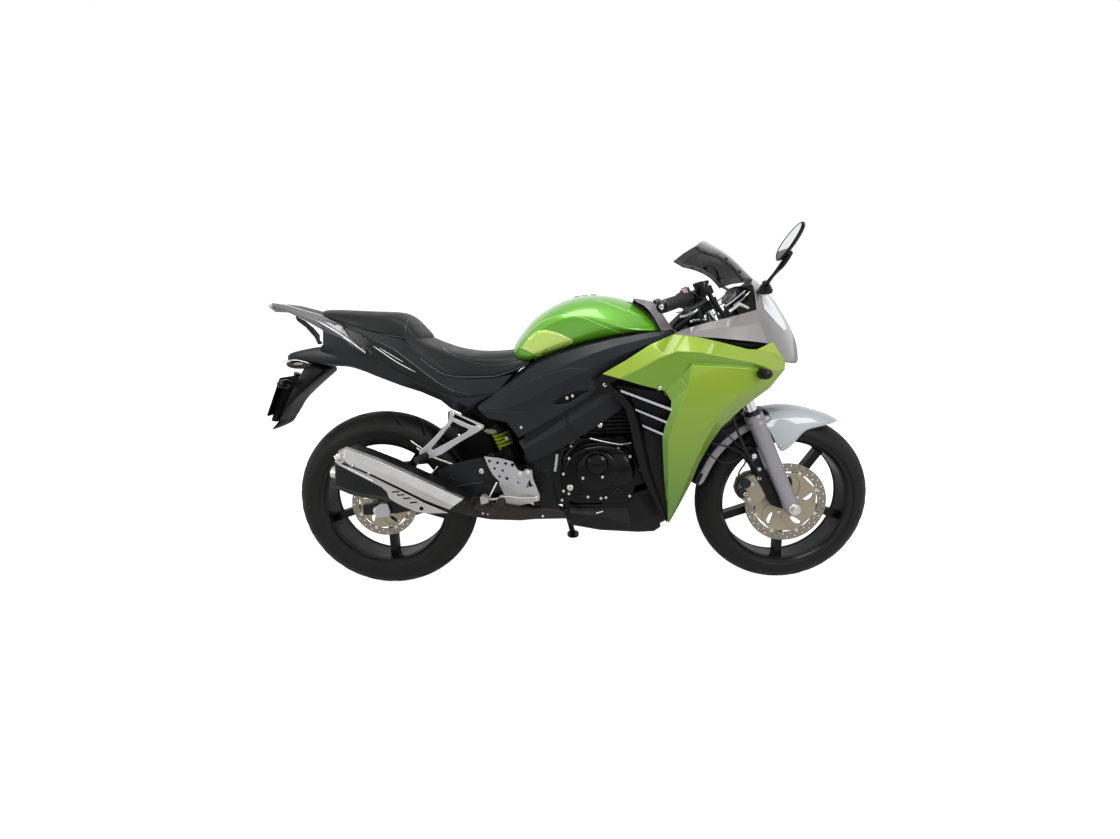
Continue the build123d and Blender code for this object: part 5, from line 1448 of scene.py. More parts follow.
# A thin plated tube along the top edge of the cover paints the highlight that runs there
tube("cover_top_highlight", [(707, -158, 552), (738, -160, 544), (775, -160, 536), (806, -158, 529),
    (835, -150, 533)], 2.4, zinc_steel)
tube("coolant_stub", [(602, -150, 502), (600, -150, 476), (594, -150, 446)], 5.5, satin_aluminium)
tube("breather_hose_a", [(659, -140, 524), (637, -142, 506), (620, -142, 473), (629, -140, 453)],
    4.5, hose_rubber)
tube("breather_hose_b", [(676, -130, 561), (660, -134, 529), (643, -136, 524), (627, -134, 510)],
    3.5, hose_rubber)
turned("hose_clamp", (647, -138, 524), (-1, 0, -0.4), [(-3, 5), (-3, 6), (3, 6), (3, 5)],
    zinc_steel, steps=24)
turned("beam_bolt", (739, -140, 591), RIGHT, [(-6, 0), (-6, 8), (5, 8), (6, 6), (6, 0)], zinc_steel,
    steps=6, both=True)

# %% [markdown]
# **Rear suspension.** The spring is one steel coil, painted yellow-green, round a dark damper. A
# helix is swept as a tube, because the gaps between its turns are what the eye reads.

# %% Shock, swingarm fittings and chain
ends = [parked.inverted() @ (nodes["rear_shock"].matrix_world @ v.co)
    for v in nodes["rear_shock"].data.vertices]
foot_z = min(p.z for p in ends)
shock_x = sum(p.x for p in ends if p.z < foot_z + 40) / sum(1 for p in ends if p.z < foot_z + 40)
lean_top = Vector((389, 0, 574))
shock_foot = Vector((shock_x, 0, foot_z))
shock_way = (lean_top - shock_foot).normalized()
shock_long = (lean_top - shock_foot).length
turned("shock_body", shock_foot, shock_way, [
    (0, 0), (0, 12), (10, 14), (16, 24), (22, 27), (shock_long * 0.42, 27),
    (shock_long * 0.42 + 3, 15), (shock_long - 30, 15), (shock_long - 28, 26),
    (shock_long - 12, 27), (shock_long - 10, 16), (shock_long, 14), (shock_long, 0)], cast_dark,
    hides=["rear_shock"], steps=40, sharp=25)
spring_aside = shock_way.cross(Vector(LEFT)).normalized()
turns, coil = 4, []
spring_low, spring_high = shock_long * 0.42 + 6, shock_long - 33
for s in range(turns * 14 + 1):
    turn = 2 * pi * s / 14
    on_axis = shock_foot + shock_way * (spring_low + (spring_high - spring_low) * s / (turns * 14))
    coil.append(tuple(on_axis + spring_aside * 25 * cos(turn) + Vector(LEFT) * 25 * sin(turn)))
tube("shock_spring", coil, 5, spring_paint)
pad = [(343, 562), (374, 572), (398, 568), (407, 549), (380, 541), (360, 548)]
plate("shock_lug", pad, -46, -30, carrier_paint, bevel=3, levels=1)
bolts("shock_bolt", [((433, -60, 539), RIGHT)], zinc_steel, radius=7, height=14)
arm_face = [(210, 448), (267, 470), (357, 489), (378, 458), (408, 413), (359, 407), (252, 394),
    (201, 421)]
plate("swingarm_face", arm_face, -124, -117.5, arm_enamel, bevel=2.5, sharp=30)
bolts("swingarm_bolts", [((354, -124, 443), RIGHT)], zinc_steel, radius=9, height=5)
bolts("swingarm_cap", [((254, -124, 418), RIGHT)], arm_enamel, radius=9, height=5)
tube("swingarm_edge", [(257, -124, 391), (300, -124, 398), (360, -124, 406)], 1.8, satin_edge)
hugger = []
for k in range(6):
    turn = radians(24 + k * 5.5)
    hugger.append([(r * cos(turn), y, REAR_AXLE_UP + r * sin(turn)) for y, r in
                   ((-70, 306), (-69, 318), (-56, 323), (-20, 325), (20, 325), (56, 323), (69, 318),
                   (70, 306))])
rows_piece("rear_hugger", [hugger], dull_black, wall=3, levels=1)
tube("hugger_stay", [(181, -120, 499), (217, -112, 480), (255, -108, 464)], 4, zinc_steel)
bolts("axle_adjusters", [((0, -119, 314), RIGHT), ((24, -118, 314), RIGHT)], zinc_steel, radius=10,
    height=8, both=True)
plate("axle_block", [(-2, 329), (13, 339), (36, 339), (44, 311), (39, 293), (-9, 291)], -130, -120,
    satin_aluminium,
      bevel=1.5, both=True)
belly_rows = [
    [(636, -150, 328), (736, -150, 321), (823, -150, 321), (848, -150, 365), (897, -146, 383)],
    [(639, -168, 311), (728, -170, 299), (833, -170, 270), (878, -168, 280), (921, -158, 296)],
    [(641, -150, 266), (735, -152, 247), (858, -152, 238), (910, -150, 240), (934, -140, 250)],
    [(644, -110, 246), (737, -110, 227), (864, -110, 218), (917, -110, 220), (937, -110, 234)],
]
rows_piece("belly_sides", [belly_rows], satin_black, wall=3, bevel=2, sharp=10, both=True)
tube("belly_slot", [(722, -172, 310), (744, -170, 316)], 2, zinc_steel, both=True)
print("engine and suspension are on")

# %% [markdown]
# # Wheels
# A tyre's shape is its cross section turned about the axle, with grooves that run out from the
# middle at a slant. The mesh is sheared along the grooves, so their edges stay crisp, and the
# groove floors are 4 mm lower. The rims keep the CAD's cast spokes.

# %% Tyre with a cut tread
def tyre_piece(name, centre, radius, half, body, hides, pitches=22, slant=0.9, lean=1):
    """A tyre about an axle: its outline is a half section, and the tread is cut into it."""
    crown, seat = radius, 217
    outline = [(0, crown), (0.08, crown - 0.3), (0.14, crown - 0.9), (0.3, crown - 3.6),
        (0.46, crown - 8.2), (0.62, crown - 15),
               (0.76, crown - 23.5), (0.86, crown - 31), (0.93, crown - 38), (0.985, crown - 48),
               (1.0, crown - 56),
               (0.985, crown - 62), (0.94, seat + 14), (0.9, seat + 11), (0.86, seat + 4),
               (0.84, seat), (0.80, seat - 2)]
    across = [(-w * half, r) for w, r in reversed(outline)] + [(w * half, r)
        for w, r in outline[1:]]
    grooved = {i for i, (y, r) in enumerate(across) if 0.1 * half < abs(y) < 0.8 * half}
    offsets = [0.0, 0.05, 0.16, 0.21, 0.4, 0.6, 0.8]
    points, wide = [], len(across)
    for p in range(pitches):
        for o in offsets:
            for i, (y, r) in enumerate(across):
                reach = abs(y) / half
                turn = 2 * pi * (p + o + slant * reach) / pitches * lean
                cut = 4.0 if i in grooved and o in (0.05, 0.16) else 0
                second = 3.0 if (o == 0.6 and 0.3 < reach < 0.7) else 0
                d = r - cut - second * 0.5
                points.append((centre[0] + d * cos(turn), centre[1] + y, centre[2] + d * sin(turn)))
    rows = pitches * len(offsets)
    faces = [(a * wide + i, a * wide + i + 1, (a + 1) % rows * wide + i + 1,
        (a + 1) % rows * wide + i)
             for a in range(rows) for i in range(wide - 1)]
    return piece(name, points, faces, tyre_rubber, body=body, hides=hides, wall=3, sharp=28)


front_hub, rear_hub = (WHEELBASE, 0, FRONT_AXLE_UP), (0, 0, REAR_AXLE_UP)
tyre_piece("front_tyre_tread", front_hub, FRONT_AXLE_UP, 55, "front_wheel", ["front_tyre"],
    pitches=20)
tyre_piece("rear_tyre_tread", rear_hub, REAR_AXLE_UP, 66, "rear_wheel", ["rear_tyre"], pitches=20,
    lean=-1)
for name, hub, half, body in (("front", front_hub, 46, "front_wheel"),
        ("rear", rear_hub, 56, "rear_wheel")):
    shapes = []
    for side in (-1, 1):
        lip = [(side * (half - 2), 224), (side * (half + 1), 227), (side * (half + 2.5), 225),
            (side * (half + 2), 217),
               (side * (half - 4), 212), (side * (half - 14), 206)]
        shapes.append(turned_faces(hub, LEFT, lip, 96))
    piece(name + "_rim_lips", *join_shapes(shapes), rim_lip, body=body, wall=2)
    shapes = []
    for side in (-1, 1):
        for a in range(5):
            t = 2 * pi * (a + 0.5) / 5
            middle = (hub[0] + 24 * cos(t), side * (half * 0.62 + 2), hub[2] + 24 * sin(t))
            shapes.append(turned_faces(middle, (0, side, 0),
                [(0, 0), (0, 5), (3, 5), (4, 3.5), (4, 0)], 6))
    piece(name + "_hub_bolts", *join_shapes(shapes), zinc_steel, body=body)
    turned(name + "_valve", (hub[0] + 199 * cos(2.2), half * 0.35, hub[2] + 199 * sin(2.2)),
        (-cos(2.2), 0, -sin(2.2)),
           [(-6, 0), (-6, 6), (2, 5), (4, 3.5), (26, 3.5), (27, 4.5), (34, 4.5), (35, 0)],
           hose_rubber, body=body, steps=16)

# %% [markdown]
# # Brake discs
# A disc is a ground steel ring with two rows of drilled holes, held by buttons to a carrier with
# swept slots. Both are plates with the holes cut through.

# %% Discs
def disc_piece(name, hub, radius, y_near, y_far, body, hides, count=30):
    inner = radius * 0.79
    holes = [circle(hub[0] + inner * cos(2 * pi * s / 72), hub[2] + inner * sin(2 * pi * s / 72),
        0.01, 3) for s in range(0)]
    for k in range(count):
        t = 2 * pi * k / count
        for r, shift, size in ((radius * 0.94, 0.0, 2.7), (radius * 0.85, 0.5, 2.7)):
            turn = t + shift * 2 * pi / count
            holes.append(circle(hub[0] + r * cos(turn), hub[2] + r * sin(turn), size, 8))
    ring = [circle(hub[0], hub[2], radius, 96)]
    ring_holes = [circle(hub[0], hub[2], inner, 72)] + holes
    plate(name + "_ring", ring[0], y_near, y_far, disc_steel, holes=ring_holes, body=body,
        hides=hides, bevel=0.4, sharp=40)
    slots = []
    for k in range(5):
        base = 2 * pi * k / 5
        blade = []
        for r, turn in ((0.40, 0.0), (0.52, 0.06), (0.64, 0.16), (0.70, 0.30), (0.66, 0.36),
                (0.56, 0.30), (0.44, 0.20)):
            blade.append((hub[0] + radius * r * cos(base + turn),
                hub[2] + radius * r * sin(base + turn)))
        slots.append(blade)
    edge = []
    for s in range(80):
        t = 2 * pi * s / 80
        r = inner - 3.5 - 3.0 * cos(8 * t)
        edge.append((hub[0] + r * cos(t), hub[2] + r * sin(t)))
    middle = (y_near + y_far) / 2
    plate(name + "_carrier", edge, middle - 3.2, middle + 3.2, carrier_paint,
        holes=slots + [circle(hub[0], hub[2], 26, 32)], body=body,
          bevel=0.8, sharp=40)
    shapes = []
    for k in range(8):
        t = 2 * pi * (k + 0.5) / 8
        at = (hub[0] + (inner + 1) * cos(t), y_near - 1.5, hub[2] + (inner + 1) * sin(t))
        shapes.append(turned_faces(at, LEFT, [(0, 0), (0, 4), (-0.1, 6), (2, 7), (7, 7), (7, 0)],
            18))
    piece(name + "_buttons", *join_shapes(shapes), zinc_steel, body=body)
    places = [((hub[0] + 40 * cos(2 * pi * (k + 0.3) / 5), middle - 3,
        hub[2] + 40 * sin(2 * pi * (k + 0.3) / 5)), RIGHT)
              for k in range(5)]
    bolts(name + "_bolts", places, zinc_steel, body=body, radius=6, height=4)
    spiral = []
    for k in range(5):
        base = 2 * pi * k / 5 + 0.75
        line = [(hub[0] + radius * r * cos(base + t), middle - 3.6,
            hub[2] + radius * r * sin(base + t))
                for r, t in ((0.3, -0.2), (0.42, 0.0), (0.55, 0.16), (0.66, 0.38), (0.73, 0.62))]
        spiral.append(line)
    for k, line in enumerate(spiral):
        tube("%s_rib_%d" % (name, k), line, 1.6, carrier_paint, body=body)


disc_piece("front_brake_disc", front_hub, 136, -54.5, -50, "front_wheel", ["front_disc"])
rear_disc_y = [(parked.inverted() @ Vector(v.co)).y for v in nodes["rear_disc"].data.vertices]
disc_piece("rear_brake_disc", rear_hub, 112, min(rear_disc_y), max(rear_disc_y), "rear_wheel",
    ["rear_disc"], count=24)
print("rear disc between", round(min(rear_disc_y), 1), "and", round(max(rear_disc_y), 1))

# %% [markdown]
# # Fork, fender and front brake
# The fork slides in two grey enamelled legs with a machined cap; the chrome tubes run up to the
# yokes. The silver fender is deep beside the wheel, and its rear half is drawn black with a silver
# edge.

# %% Fork legs
rake = radians(24)
fork_up = Vector((-sin(rake), 0, cos(rake)))
foot = Vector((WHEELBASE, 0, FRONT_AXLE_UP))
slider_profile = [
    (-31, 0), (-30, 10), (-25, 18), (-15, 23), (0, 26), (14, 26.5), (40, 24.5), (120, 24.5),
    (290, 26), (304, 26.6), (306, 29),
    (318, 29.5), (322, 28), (325, 29.5), (338, 29.5), (343, 28), (345, 25), (345, 0),
]
seal_profile = [(345, 0), (345, 24), (347, 25), (354, 24), (358, 21), (359, 0)]
tube_profile = [(355, 0), (355, 18.5), (787, 18.5), (788, 17), (788, 0)]
cap_profile = [(786, 0), (786, 17), (792, 17), (793, 15), (793, 9), (797, 9), (797, 0)]


def both_legs(name, profile, skin, **more):
    shapes = [turned_faces(foot + Vector((0, side * FORK_OUT, 0)), fork_up, profile, 40)
        for side in (-1, 1)]
    return piece(name, *join_shapes(shapes), skin, body="steering", **more)


both_legs("fork_sliders", slider_profile, fork_enamel, hides=["fork_legs"], sharp=30)
both_legs("fork_seals", seal_profile, hose_rubber)
both_legs("fork_tubes", tube_profile, chrome)
both_legs("fork_caps", cap_profile, satin_aluminium)
nut_faces = [turned_faces((WHEELBASE, side * 126, FRONT_AXLE_UP), (0, side, 0), profile, steps)
    for side in (-1, 1) for profile, steps in (
    ([(-6, 0), (-6, 19), (1, 19), (2.5, 17.5), (2.5, 12)], 32),
    ([(2, 12), (2, 12.5), (9, 12.5), (10.5, 11), (10.5, 7)], 6),
    ([(8, 7.4), (12, 7.4), (13, 6), (13, 0)], 24))]
piece("front_axle_nuts", *join_shapes(nut_faces), zinc_steel, body="steering", sharp=25)

# %% Front fender
fender_rows = [
    ((1546, 568), (1540, 569, 22), (1534, 568, 36), (1529, 566, 44)),
    ((1516, 587), (1512, 581, 44), (1507, 574, 58), (1498, 562, 63)),
    ((1470, 604), (1468, 596, 52), (1462, 580, 66), (1452, 553, 70)),
    ((1430, 616), (1429, 607, 54), (1424, 582, 69), (1412, 545, 72)),
    ((1389, 624), (1388, 613, 55), (1387, 576, 70), (1394, 520, 73)),
    ((1352, 626), (1352, 614, 55), (1356, 570, 70), (1372, 490, 73)),
    ((1322, 625), (1322, 612, 55), (1330, 560, 70), (1342, 467, 73)),
    ((1296, 620), (1297, 607, 55), (1306, 560, 69), (1331, 478, 73)),
    ((1274, 612), (1276, 600, 55), (1286, 570, 67), (1308, 528, 71)),
    ((1256, 604), (1258, 592, 55), (1268, 578, 64), (1286, 572, 68)),
]


def arch_row(row):
    (x, z), *sides = row
    right = [(px, -py, pz) for px, pz, py in reversed(sides)]
    return right + [(x, 0, z)] + [(px, -py, pz) for px, py, pz in reversed(right)]


rows_piece("front_fender_shell", [[arch_row(row) for row in fender_rows]], silver_lacquer,
    body="steering",
                    hides=["front_fender"], wall=3, levels=2)
tail_rows = []
for k in range(9):
    turn = radians(103 + k * 8)
    row = []
    for y, r in ((-69, 289), (-68, 304), (-66, 312), (-54, 326), (-28, 332), (0, 333), (28, 332),
            (54, 326), (66, 312), (68, 304), (69, 289)):
        r = r + (6 if k == 8 and abs(y) > 60 else 0)
        row.append((WHEELBASE + r * cos(turn), y, FRONT_AXLE_UP + r * sin(turn)))
    tail_rows.append(row)
fender_tail = rows_piece("front_fender_tail", [tail_rows], panel_black, body="steering", wall=3,
    bevel=0, levels=1)
paint(fender_tail, fork_enamel, lambda x, y, z: hypot(x - WHEELBASE, z - FRONT_AXLE_UP) < 309)
plate("fender_brace", [(1207, 617), (1229, 633), (1259, 596), (1292, 526), (1320, 481), (1301, 475),
    (1255, 543),
      (1218, 584)], -80, -74, panel_black, body="steering", bevel=1.5, both=True)
bolts("fender_screws", [((1334, -74, 494), RIGHT), ((1304, -80, 500), RIGHT),
    ((1312, -80, 488), RIGHT)], zinc_steel,
      body="steering", radius=5, height=3, both=True)
rows_piece("fork_brace", [[
    [(1210, -72, 627), (1250, -72, 596)], [(1221, -40, 635), (1265, -40, 610)],
    [(1235, 0, 632), (1280, 0, 607)],
    [(1249, 40, 622), (1295, 40, 596)], [(1261, 72, 603), (1308, 72, 569)],
]], dull_black, body="steering", wall=6)

# %% Front caliper and its bracket
caliper_body = [(1234, 396), (1260, 402), (1284, 381), (1298, 353), (1293, 325), (1271, 298),
    (1248, 287), (1228, 302),
                (1207, 320), (1200, 344), (1208, 376)]
plate("caliper_outer_half", caliper_body, -84, -62, caliper_grey, body="steering",
    hides=["front_caliper"], bevel=4, sharp=30)
plate("caliper_inner_half", caliper_body, -43, -24, caliper_grey, body="steering", bevel=3,
    sharp=30)
plate("caliper_bridge", caliper_body[:2] + [(1251, 382), (1228, 372), (1219, 348),
    (1220, 327)] + caliper_body[8:], -62, -43, cast_dark, body="steering",
      bevel=1.5, sharp=30)
pistons = []
for at in ((1220, -84, 373), (1210, -84, 339)):
    pistons.append(turned_faces(at, RIGHT, [(-2, 0), (-2, 17), (7, 17), (10, 14), (10, 7), (8, 6),
        (8, 0)], 28))
piece("caliper_pistons", *join_shapes(pistons), cast_dark, body="steering", bevel=0.8)
bolts("caliper_bolts", [((1220, -90, 337), RIGHT), ((1265, -84, 390), RIGHT),
    ((1243, -86, 370), RIGHT), ((1235, -86, 318), RIGHT),
      ((1262, -88, 422), RIGHT)], zinc_steel, body="steering", radius=7, height=6)
bracket_shape = [
    (1203, 494), (1235, 500), (1259, 480), (1274, 439), (1295, 394), (1321, 349), (1353, 303),
    (1341, 283),
    (1310, 294), (1293, 322), (1274, 357), (1250, 399), (1232, 433), (1208, 461),
]
plate("caliper_bracket", bracket_shape, -88, -66, satin_black, body="steering", bevel=3, sharp=30)
sensor = (1241, -96, 468)
turned("reflector_ring", sensor, RIGHT, [(-8, 0), (-8, 17), (3, 17), (6, 14), (5, 11), (2, 10.5),
    (2, 0)], smooth_black,
       body="steering", steps=36)
turned("reflector_face", sensor, RIGHT, [(2, 0), (2, 10), (4, 8), (5, 0)], chrome, body="steering",
    steps=24)
turned("caliper_slide_pin", (1271, -70, 308), (0.3, -0.1, 1),
    [(0, 0), (0, 9), (20, 9), (22, 7), (36, 7), (38, 0)], cast_grey,
       body="steering", steps=20)

# %% Brake hose and cables at the fork
hose_points = [
    (1030, -165, 962), (1044, -160, 895), (1070, -156, 822), (1100, -152, 740), (1132, -149, 655),
    (1166, -147, 565), (1204, -138, 484), (1246, -110, 430), (1274, -80, 384.5),
]


def line_length(thing):
    """The length of a curve's first line, in metres."""
    copy = thing.data.copy()
    copy.bevel_depth = 0
    holder = bpy.data.objects.new("measure", copy)
    mesh = bpy.data.meshes.new_from_object(holder)
    spots = [v.co.copy() for v in mesh.vertices]
    bpy.data.objects.remove(holder)
    bpy.data.curves.remove(copy)
    bpy.data.meshes.remove(mesh)
    return sum((b - a).length for a, b in zip(spots, spots[1:]))


def hose(name, points, radius, body="steering", hides=(), finish=None):
    """A captive hose or cable that leaves one fitting and goes back into the bike at another."""
    thing = tube(name, points, radius, finish or hose_rubber, body=body, hides=hides)
    line_length(thing)
    print(name, "is", round(line_length(thing), 3), "m long")
    return thing


hose("brake_hose_line", hose_points, 4, hides=["brake_hose"])
hose("speed_sensor_wire", [(1127, -120, 565), (1153, -112, 540), (1182, -104, 511),
    (1207, -98, 490), (1231, -96, 472)], 2.2)
hose("clutch_cable_loop", [(1097, -120, 520), (1132, -110, 511), (1174, -102, 495),
    (1211, -98, 473), (1216, -96, 445),
     (1197, -90, 417), (1195, -88, 389), (1209, -88, 368)], 2.8)
hose("throttle_cable_loop", [(1082, -120, 488), (1114, -110, 461), (1156, -102, 446),
    (1189, -98, 460), (1215, -96, 482)], 2.2)
print("front end is on")

# %% [markdown]
# # Bars, grips, switches and mirrors
# Clip-on bars leave each fork leg below the top yoke. Each carries a ribbed rubber grip with a
# steel end weight, a switch housing and a lever; the right one also holds the brake reservoir.

# %% Bars
sweep, droop = radians(34), radians(9)
bar_way = Vector((-sin(sweep) * cos(droop), cos(sweep) * cos(droop), -sin(droop)))
bar_start = Vector((WHEELBASE, FORK_OUT, FRONT_AXLE_UP)) + fork_up * 761


def on_bar(side, distance, ahead=0, drop=0):
    """A point along a bar, moved ahead of it and down from it."""
    p = bar_start + bar_way * distance + Vector((ahead, 0, -drop))
    return Vector((p.x, side * p.y, p.z))


def bar_axis(side):
    return Vector((bar_way.x, side * bar_way.y, bar_way.z))


def on_both(name, parts, skin, **more):
    """Turned parts along both bars: rows are (distance, ahead, drop, profile, steps)."""
    shapes = [turned_faces(on_bar(side, d, ahead, drop), bar_axis(side), profile, steps)
              for side in (-1, 1) for d, ahead, drop, profile, steps in parts]
    return piece(name, *join_shapes(shapes), skin, body="steering", **more)


on_both("bar_tubes", [(20, 0, 0, [(0, 0), (0, 11), (276, 11), (276, 0)], 28)], frame_enamel,
    hides=["handlebars"])
clamp_rows = [(0, 18.8), (0, 29), (3, 31), (23, 31), (26, 29), (26, 18.8)]
clamps = [turned_faces(Vector((WHEELBASE, side * FORK_OUT, FRONT_AXLE_UP)) + fork_up * 748, fork_up,
    clamp_rows, 40) for side in (-1, 1)]
piece("bar_clamps", *join_shapes(clamps), cast_dark, body="steering", sharp=25)
grip_profile = [(170, 0), (170, 21), (174, 22), (178, 21), (180, 17.6)]
for k in range(10):
    grip_profile += [(182 + k * 10.5, 17.6), (183.5 + k * 10.5, 16.6), (187 + k * 10.5, 16.6),
        (188.5 + k * 10.5, 17.6)]
grip_profile += [(288, 17.6), (291, 16), (291, 0)]
on_both("grip_sleeves", [(0, 0, 0, grip_profile, 36)], grip_rubber, hides=["grips"], sharp=25)
on_both("bar_end_weights", [(0, 0, 0, [(292, 0), (292, 15), (295, 17), (306, 17), (309, 15),
    (310, 9), (307, 7.5), (307, 0)], 36)],
        smooth_black, sharp=25)
on_both("bar_end_screws", [(0, 0, 0, [(306, 0), (306, 7), (310.5, 7), (312, 5), (312, 3.5),
    (309, 3), (309, 0)], 24)], chrome)
housing_rows = [(122, 0), (122, 15), (126, 18), (132, 19), (150, 19.5), (156, 19), (162, 18),
    (168, 17.5), (168, 0)]
on_both("switch_housings", [(0, 4, 2, housing_rows, 32)], satin_black, sharp=30)
on_both("lever_perches", [(0, 10, 2, [(92, 0), (92, 15), (95, 17), (114, 17), (117, 15), (117, 0)],
    28)], smooth_black, sharp=30)
for side, label in ((-1, "right"), (1, "left")):
    lever = [on_bar(side, 104, 26, 4), on_bar(side, 118, 46, 6), on_bar(side, 150, 56, 8),
        on_bar(side, 200, 56, 12),
             on_bar(side, 250, 54, 16), on_bar(side, 282, 50, 18)]
    tube(label + "_lever", [tuple(p) for p in lever], 5.5, cast_dark, body="steering",
        taper=[1.3, 1.3, 1.1, 0.95, 0.85, 0.9])
    tip = lever[-1]
    turned(label + "_lever_ball", tip, bar_axis(side), [(-8, 0), (-6, 5), (0, 7.5), (6, 5), (8, 0)],
        cast_dark, body="steering", steps=20)
    for k, (d, lift) in enumerate(((134, 20), (146, 22), (156, 20))):
        at = on_bar(side, d, -6, -lift)
        turned("%s_switch_%d" % (label, k), at, (-0.5, 0, 0.85),
            [(-6, 0), (-6, 6), (3, 5.5), (5, 3), (5, 0)],
               (amber_lens, cast_grey, red_lens)[k], body="steering", steps=14)
reservoir = on_bar(-1, 96, 30, -18)
turned("brake_reservoir", reservoir, (-0.2, 0, 1), [(-18, 0), (-18, 16), (-12, 19), (14, 20),
    (14, 23), (22, 23), (24, 21), (24, 0)],
       smooth_black, body="steering", steps=36, sharp=25)
bolts("reservoir_screws", [(reservoir + Vector((-4.8 + 12 * c, 12 * s, 24)), (-0.2, 0, 1))
    for c, s in ((1, 0.3), (-1, -0.3))],
      zinc_steel, body="steering", radius=3.5, height=2)
clutch_box = on_bar(1, 100, 22, -8)
turned("clutch_adjuster", clutch_box, (0.6, -0.5, 0), [(-10, 0), (-10, 8), (4, 8), (4, 10),
    (14, 10), (14, 6), (24, 5), (24, 0)],
       zinc_steel, body="steering", steps=16)
hose("clutch_cable", [tuple(clutch_box + Vector((14, -12, 0))), (1076, 116, 968), (1108, 84, 922),
    (1130, 66, 860), (1142, 56, 806)], 3)
hose("throttle_cables", [tuple(on_bar(-1, 112, 30, 6)), (1062, -142, 962), (1100, -104, 930),
    (1126, -76, 866), (1140, -62, 812)], 3)
hose("switch_wires", [tuple(on_bar(-1, 126, 16, 18)), (1046, -142, 966), (1086, -112, 940),
    (1118, -84, 880), (1134, -70, 826)], 3.5)
hose("left_switch_wires", [tuple(on_bar(1, 126, 16, 18)), (1046, 142, 966), (1086, 112, 940),
    (1118, 84, 880), (1134, 70, 826)], 3.5)

# %% Top yoke, key switch and instruments
plate("top_yoke_edge", [(x, z) for x, z in ((1036, 936), (1096, 962), (1100, 970), (1094, 974),
    (1030, 946))], -24, 24, satin_aluminium,
      body="steering", bevel=2)
yoke_bits = [
    ("fork_cap", Vector((WHEELBASE, -FORK_OUT, FRONT_AXLE_UP)) + fork_up * 776, 15),
    ("fork_cap_left", Vector((WHEELBASE, FORK_OUT, FRONT_AXLE_UP)) + fork_up * 776, 15),
]
for name, at, size in yoke_bits:
    turned(name, at, fork_up, [(0, 0), (0, size + 3), (6, size + 3), (8, size), (8, 8), (14, 7),
        (14, 0)], satin_aluminium, body="steering", steps=6)
for k, (line, thick) in enumerate((
        ([(964, -60, 876), (986, -44, 900), (1014, -30, 925), (1043, -16, 947)], 9),
        ([(998, -20, 878), (1042, -20, 915), (1093, -20, 955)], 10),
        ([(1045, -10, 877), (1068, -10, 908), (1089, -10, 943)], 12),
        ([(992, 20, 891), (1034, 18, 932), (1066, 14, 961)], 14))):
    tube("steering_loom_%d" % k, line, thick, hose_rubber)
for k, line in enumerate(([(981, -96, 933), (1005, -98, 939), (1033, -98, 929)],
        [(995, -90, 918), (1026, -90, 920), (1053, -90, 941)],
                          [(1027, -86, 902), (1054, -88, 913), (1075, -90, 907)])):
    tube("brake_pipe_%d" % k, line, 4, chrome, body="steering")
collar_high = [(851, -96, 979), (883, -108, 972), (909, -116, 959), (935, -126, 925),
    (964, -138, 882)]
collar_low = [(855, -112, 969), (878, -124, 956), (895, -132, 937), (912, -140, 910),
    (928, -150, 877)]
rows_piece("tank_collar", [[[(x, y + 30, z - 6) for x, y, z in collar_high], collar_high,
    collar_low]], rail_grey, wall=3, bevel=1.5, sharp=10, both=True)
key_at = Vector((WHEELBASE - 30 * cos(rake), 0, FRONT_AXLE_UP - 30 * sin(rake))) + fork_up * 738
turned("key_switch", key_at + Vector((10, 0, 0)), fork_up, [(-4, 0), (-4, 19), (14, 18), (18, 15),
    (18, 7), (15, 6), (15, 0)], smooth_black,
       body="steering", steps=36)
dash_rings = []
for x, half, low, high in ((1174, 60, 962, 1000), (1179, 80, 952, 1010), (1190, 88, 946, 1014),
        (1204, 86, 946, 1012), (1216, 66, 954, 1000)):
    dash_rings.append([(x, -half * 0.8, low), (x, -half, low + (high - low) * 0.3),
        (x, -half, low + (high - low) * 0.7),
                       (x, -half * 0.75, high), (x, half * 0.75, high),
                       (x, half, low + (high - low) * 0.7),
                       (x, half, low + (high - low) * 0.3), (x, half * 0.8, low)])
loft("instrument_case", dash_rings, satin_black, levels=1, hides=["instruments"])
tilt = Vector((-0.86, 0, 0.5))
for name, y, size in (("rev_counter", -32, 26), ("speedometer", 32, 24)):
    at = Vector((1174, y, 982))
    turned(name + "_rim", at, tilt, [(-6, 0), (-6, size), (5, size), (6, size - 3), (3, size - 4),
        (3, 0)], satin_aluminium, steps=48)
    turned(name + "_face", at, tilt, [(3.2, 0), (3.2, size - 4), (3.4, size - 5), (3.4, 0)],
        dial_face, steps=48)
    up = Vector((0.5, 0, 0.86))
    ticks = []
    for k in range(11):
        t = radians(-130 + 26 * k)
        way = up * cos(t) + Vector(LEFT) * sin(t)
        side_way = tilt.cross(way)
        a, b = at + tilt * 4 + way * (size - 12), at + tilt * 4 + way * (size - 6)
        ticks.append(([a - side_way * 0.9, a + side_way * 0.9, b + side_way * 0.9,
            b - side_way * 0.9], [(0, 1, 2, 3)]))
    hand = up * cos(radians(-110)) + Vector(LEFT) * sin(radians(-110))
    cross = tilt.cross(hand)
    ticks.append(([at + tilt * 4.5 - cross * 1.6, at + tilt * 4.5 + cross * 1.6,
        at + tilt * 4.5 + hand * (size - 9)], [(0, 1, 2)]))
    piece(name + "_marks", *join_shapes(ticks), pale_stripe, wall=0.4)

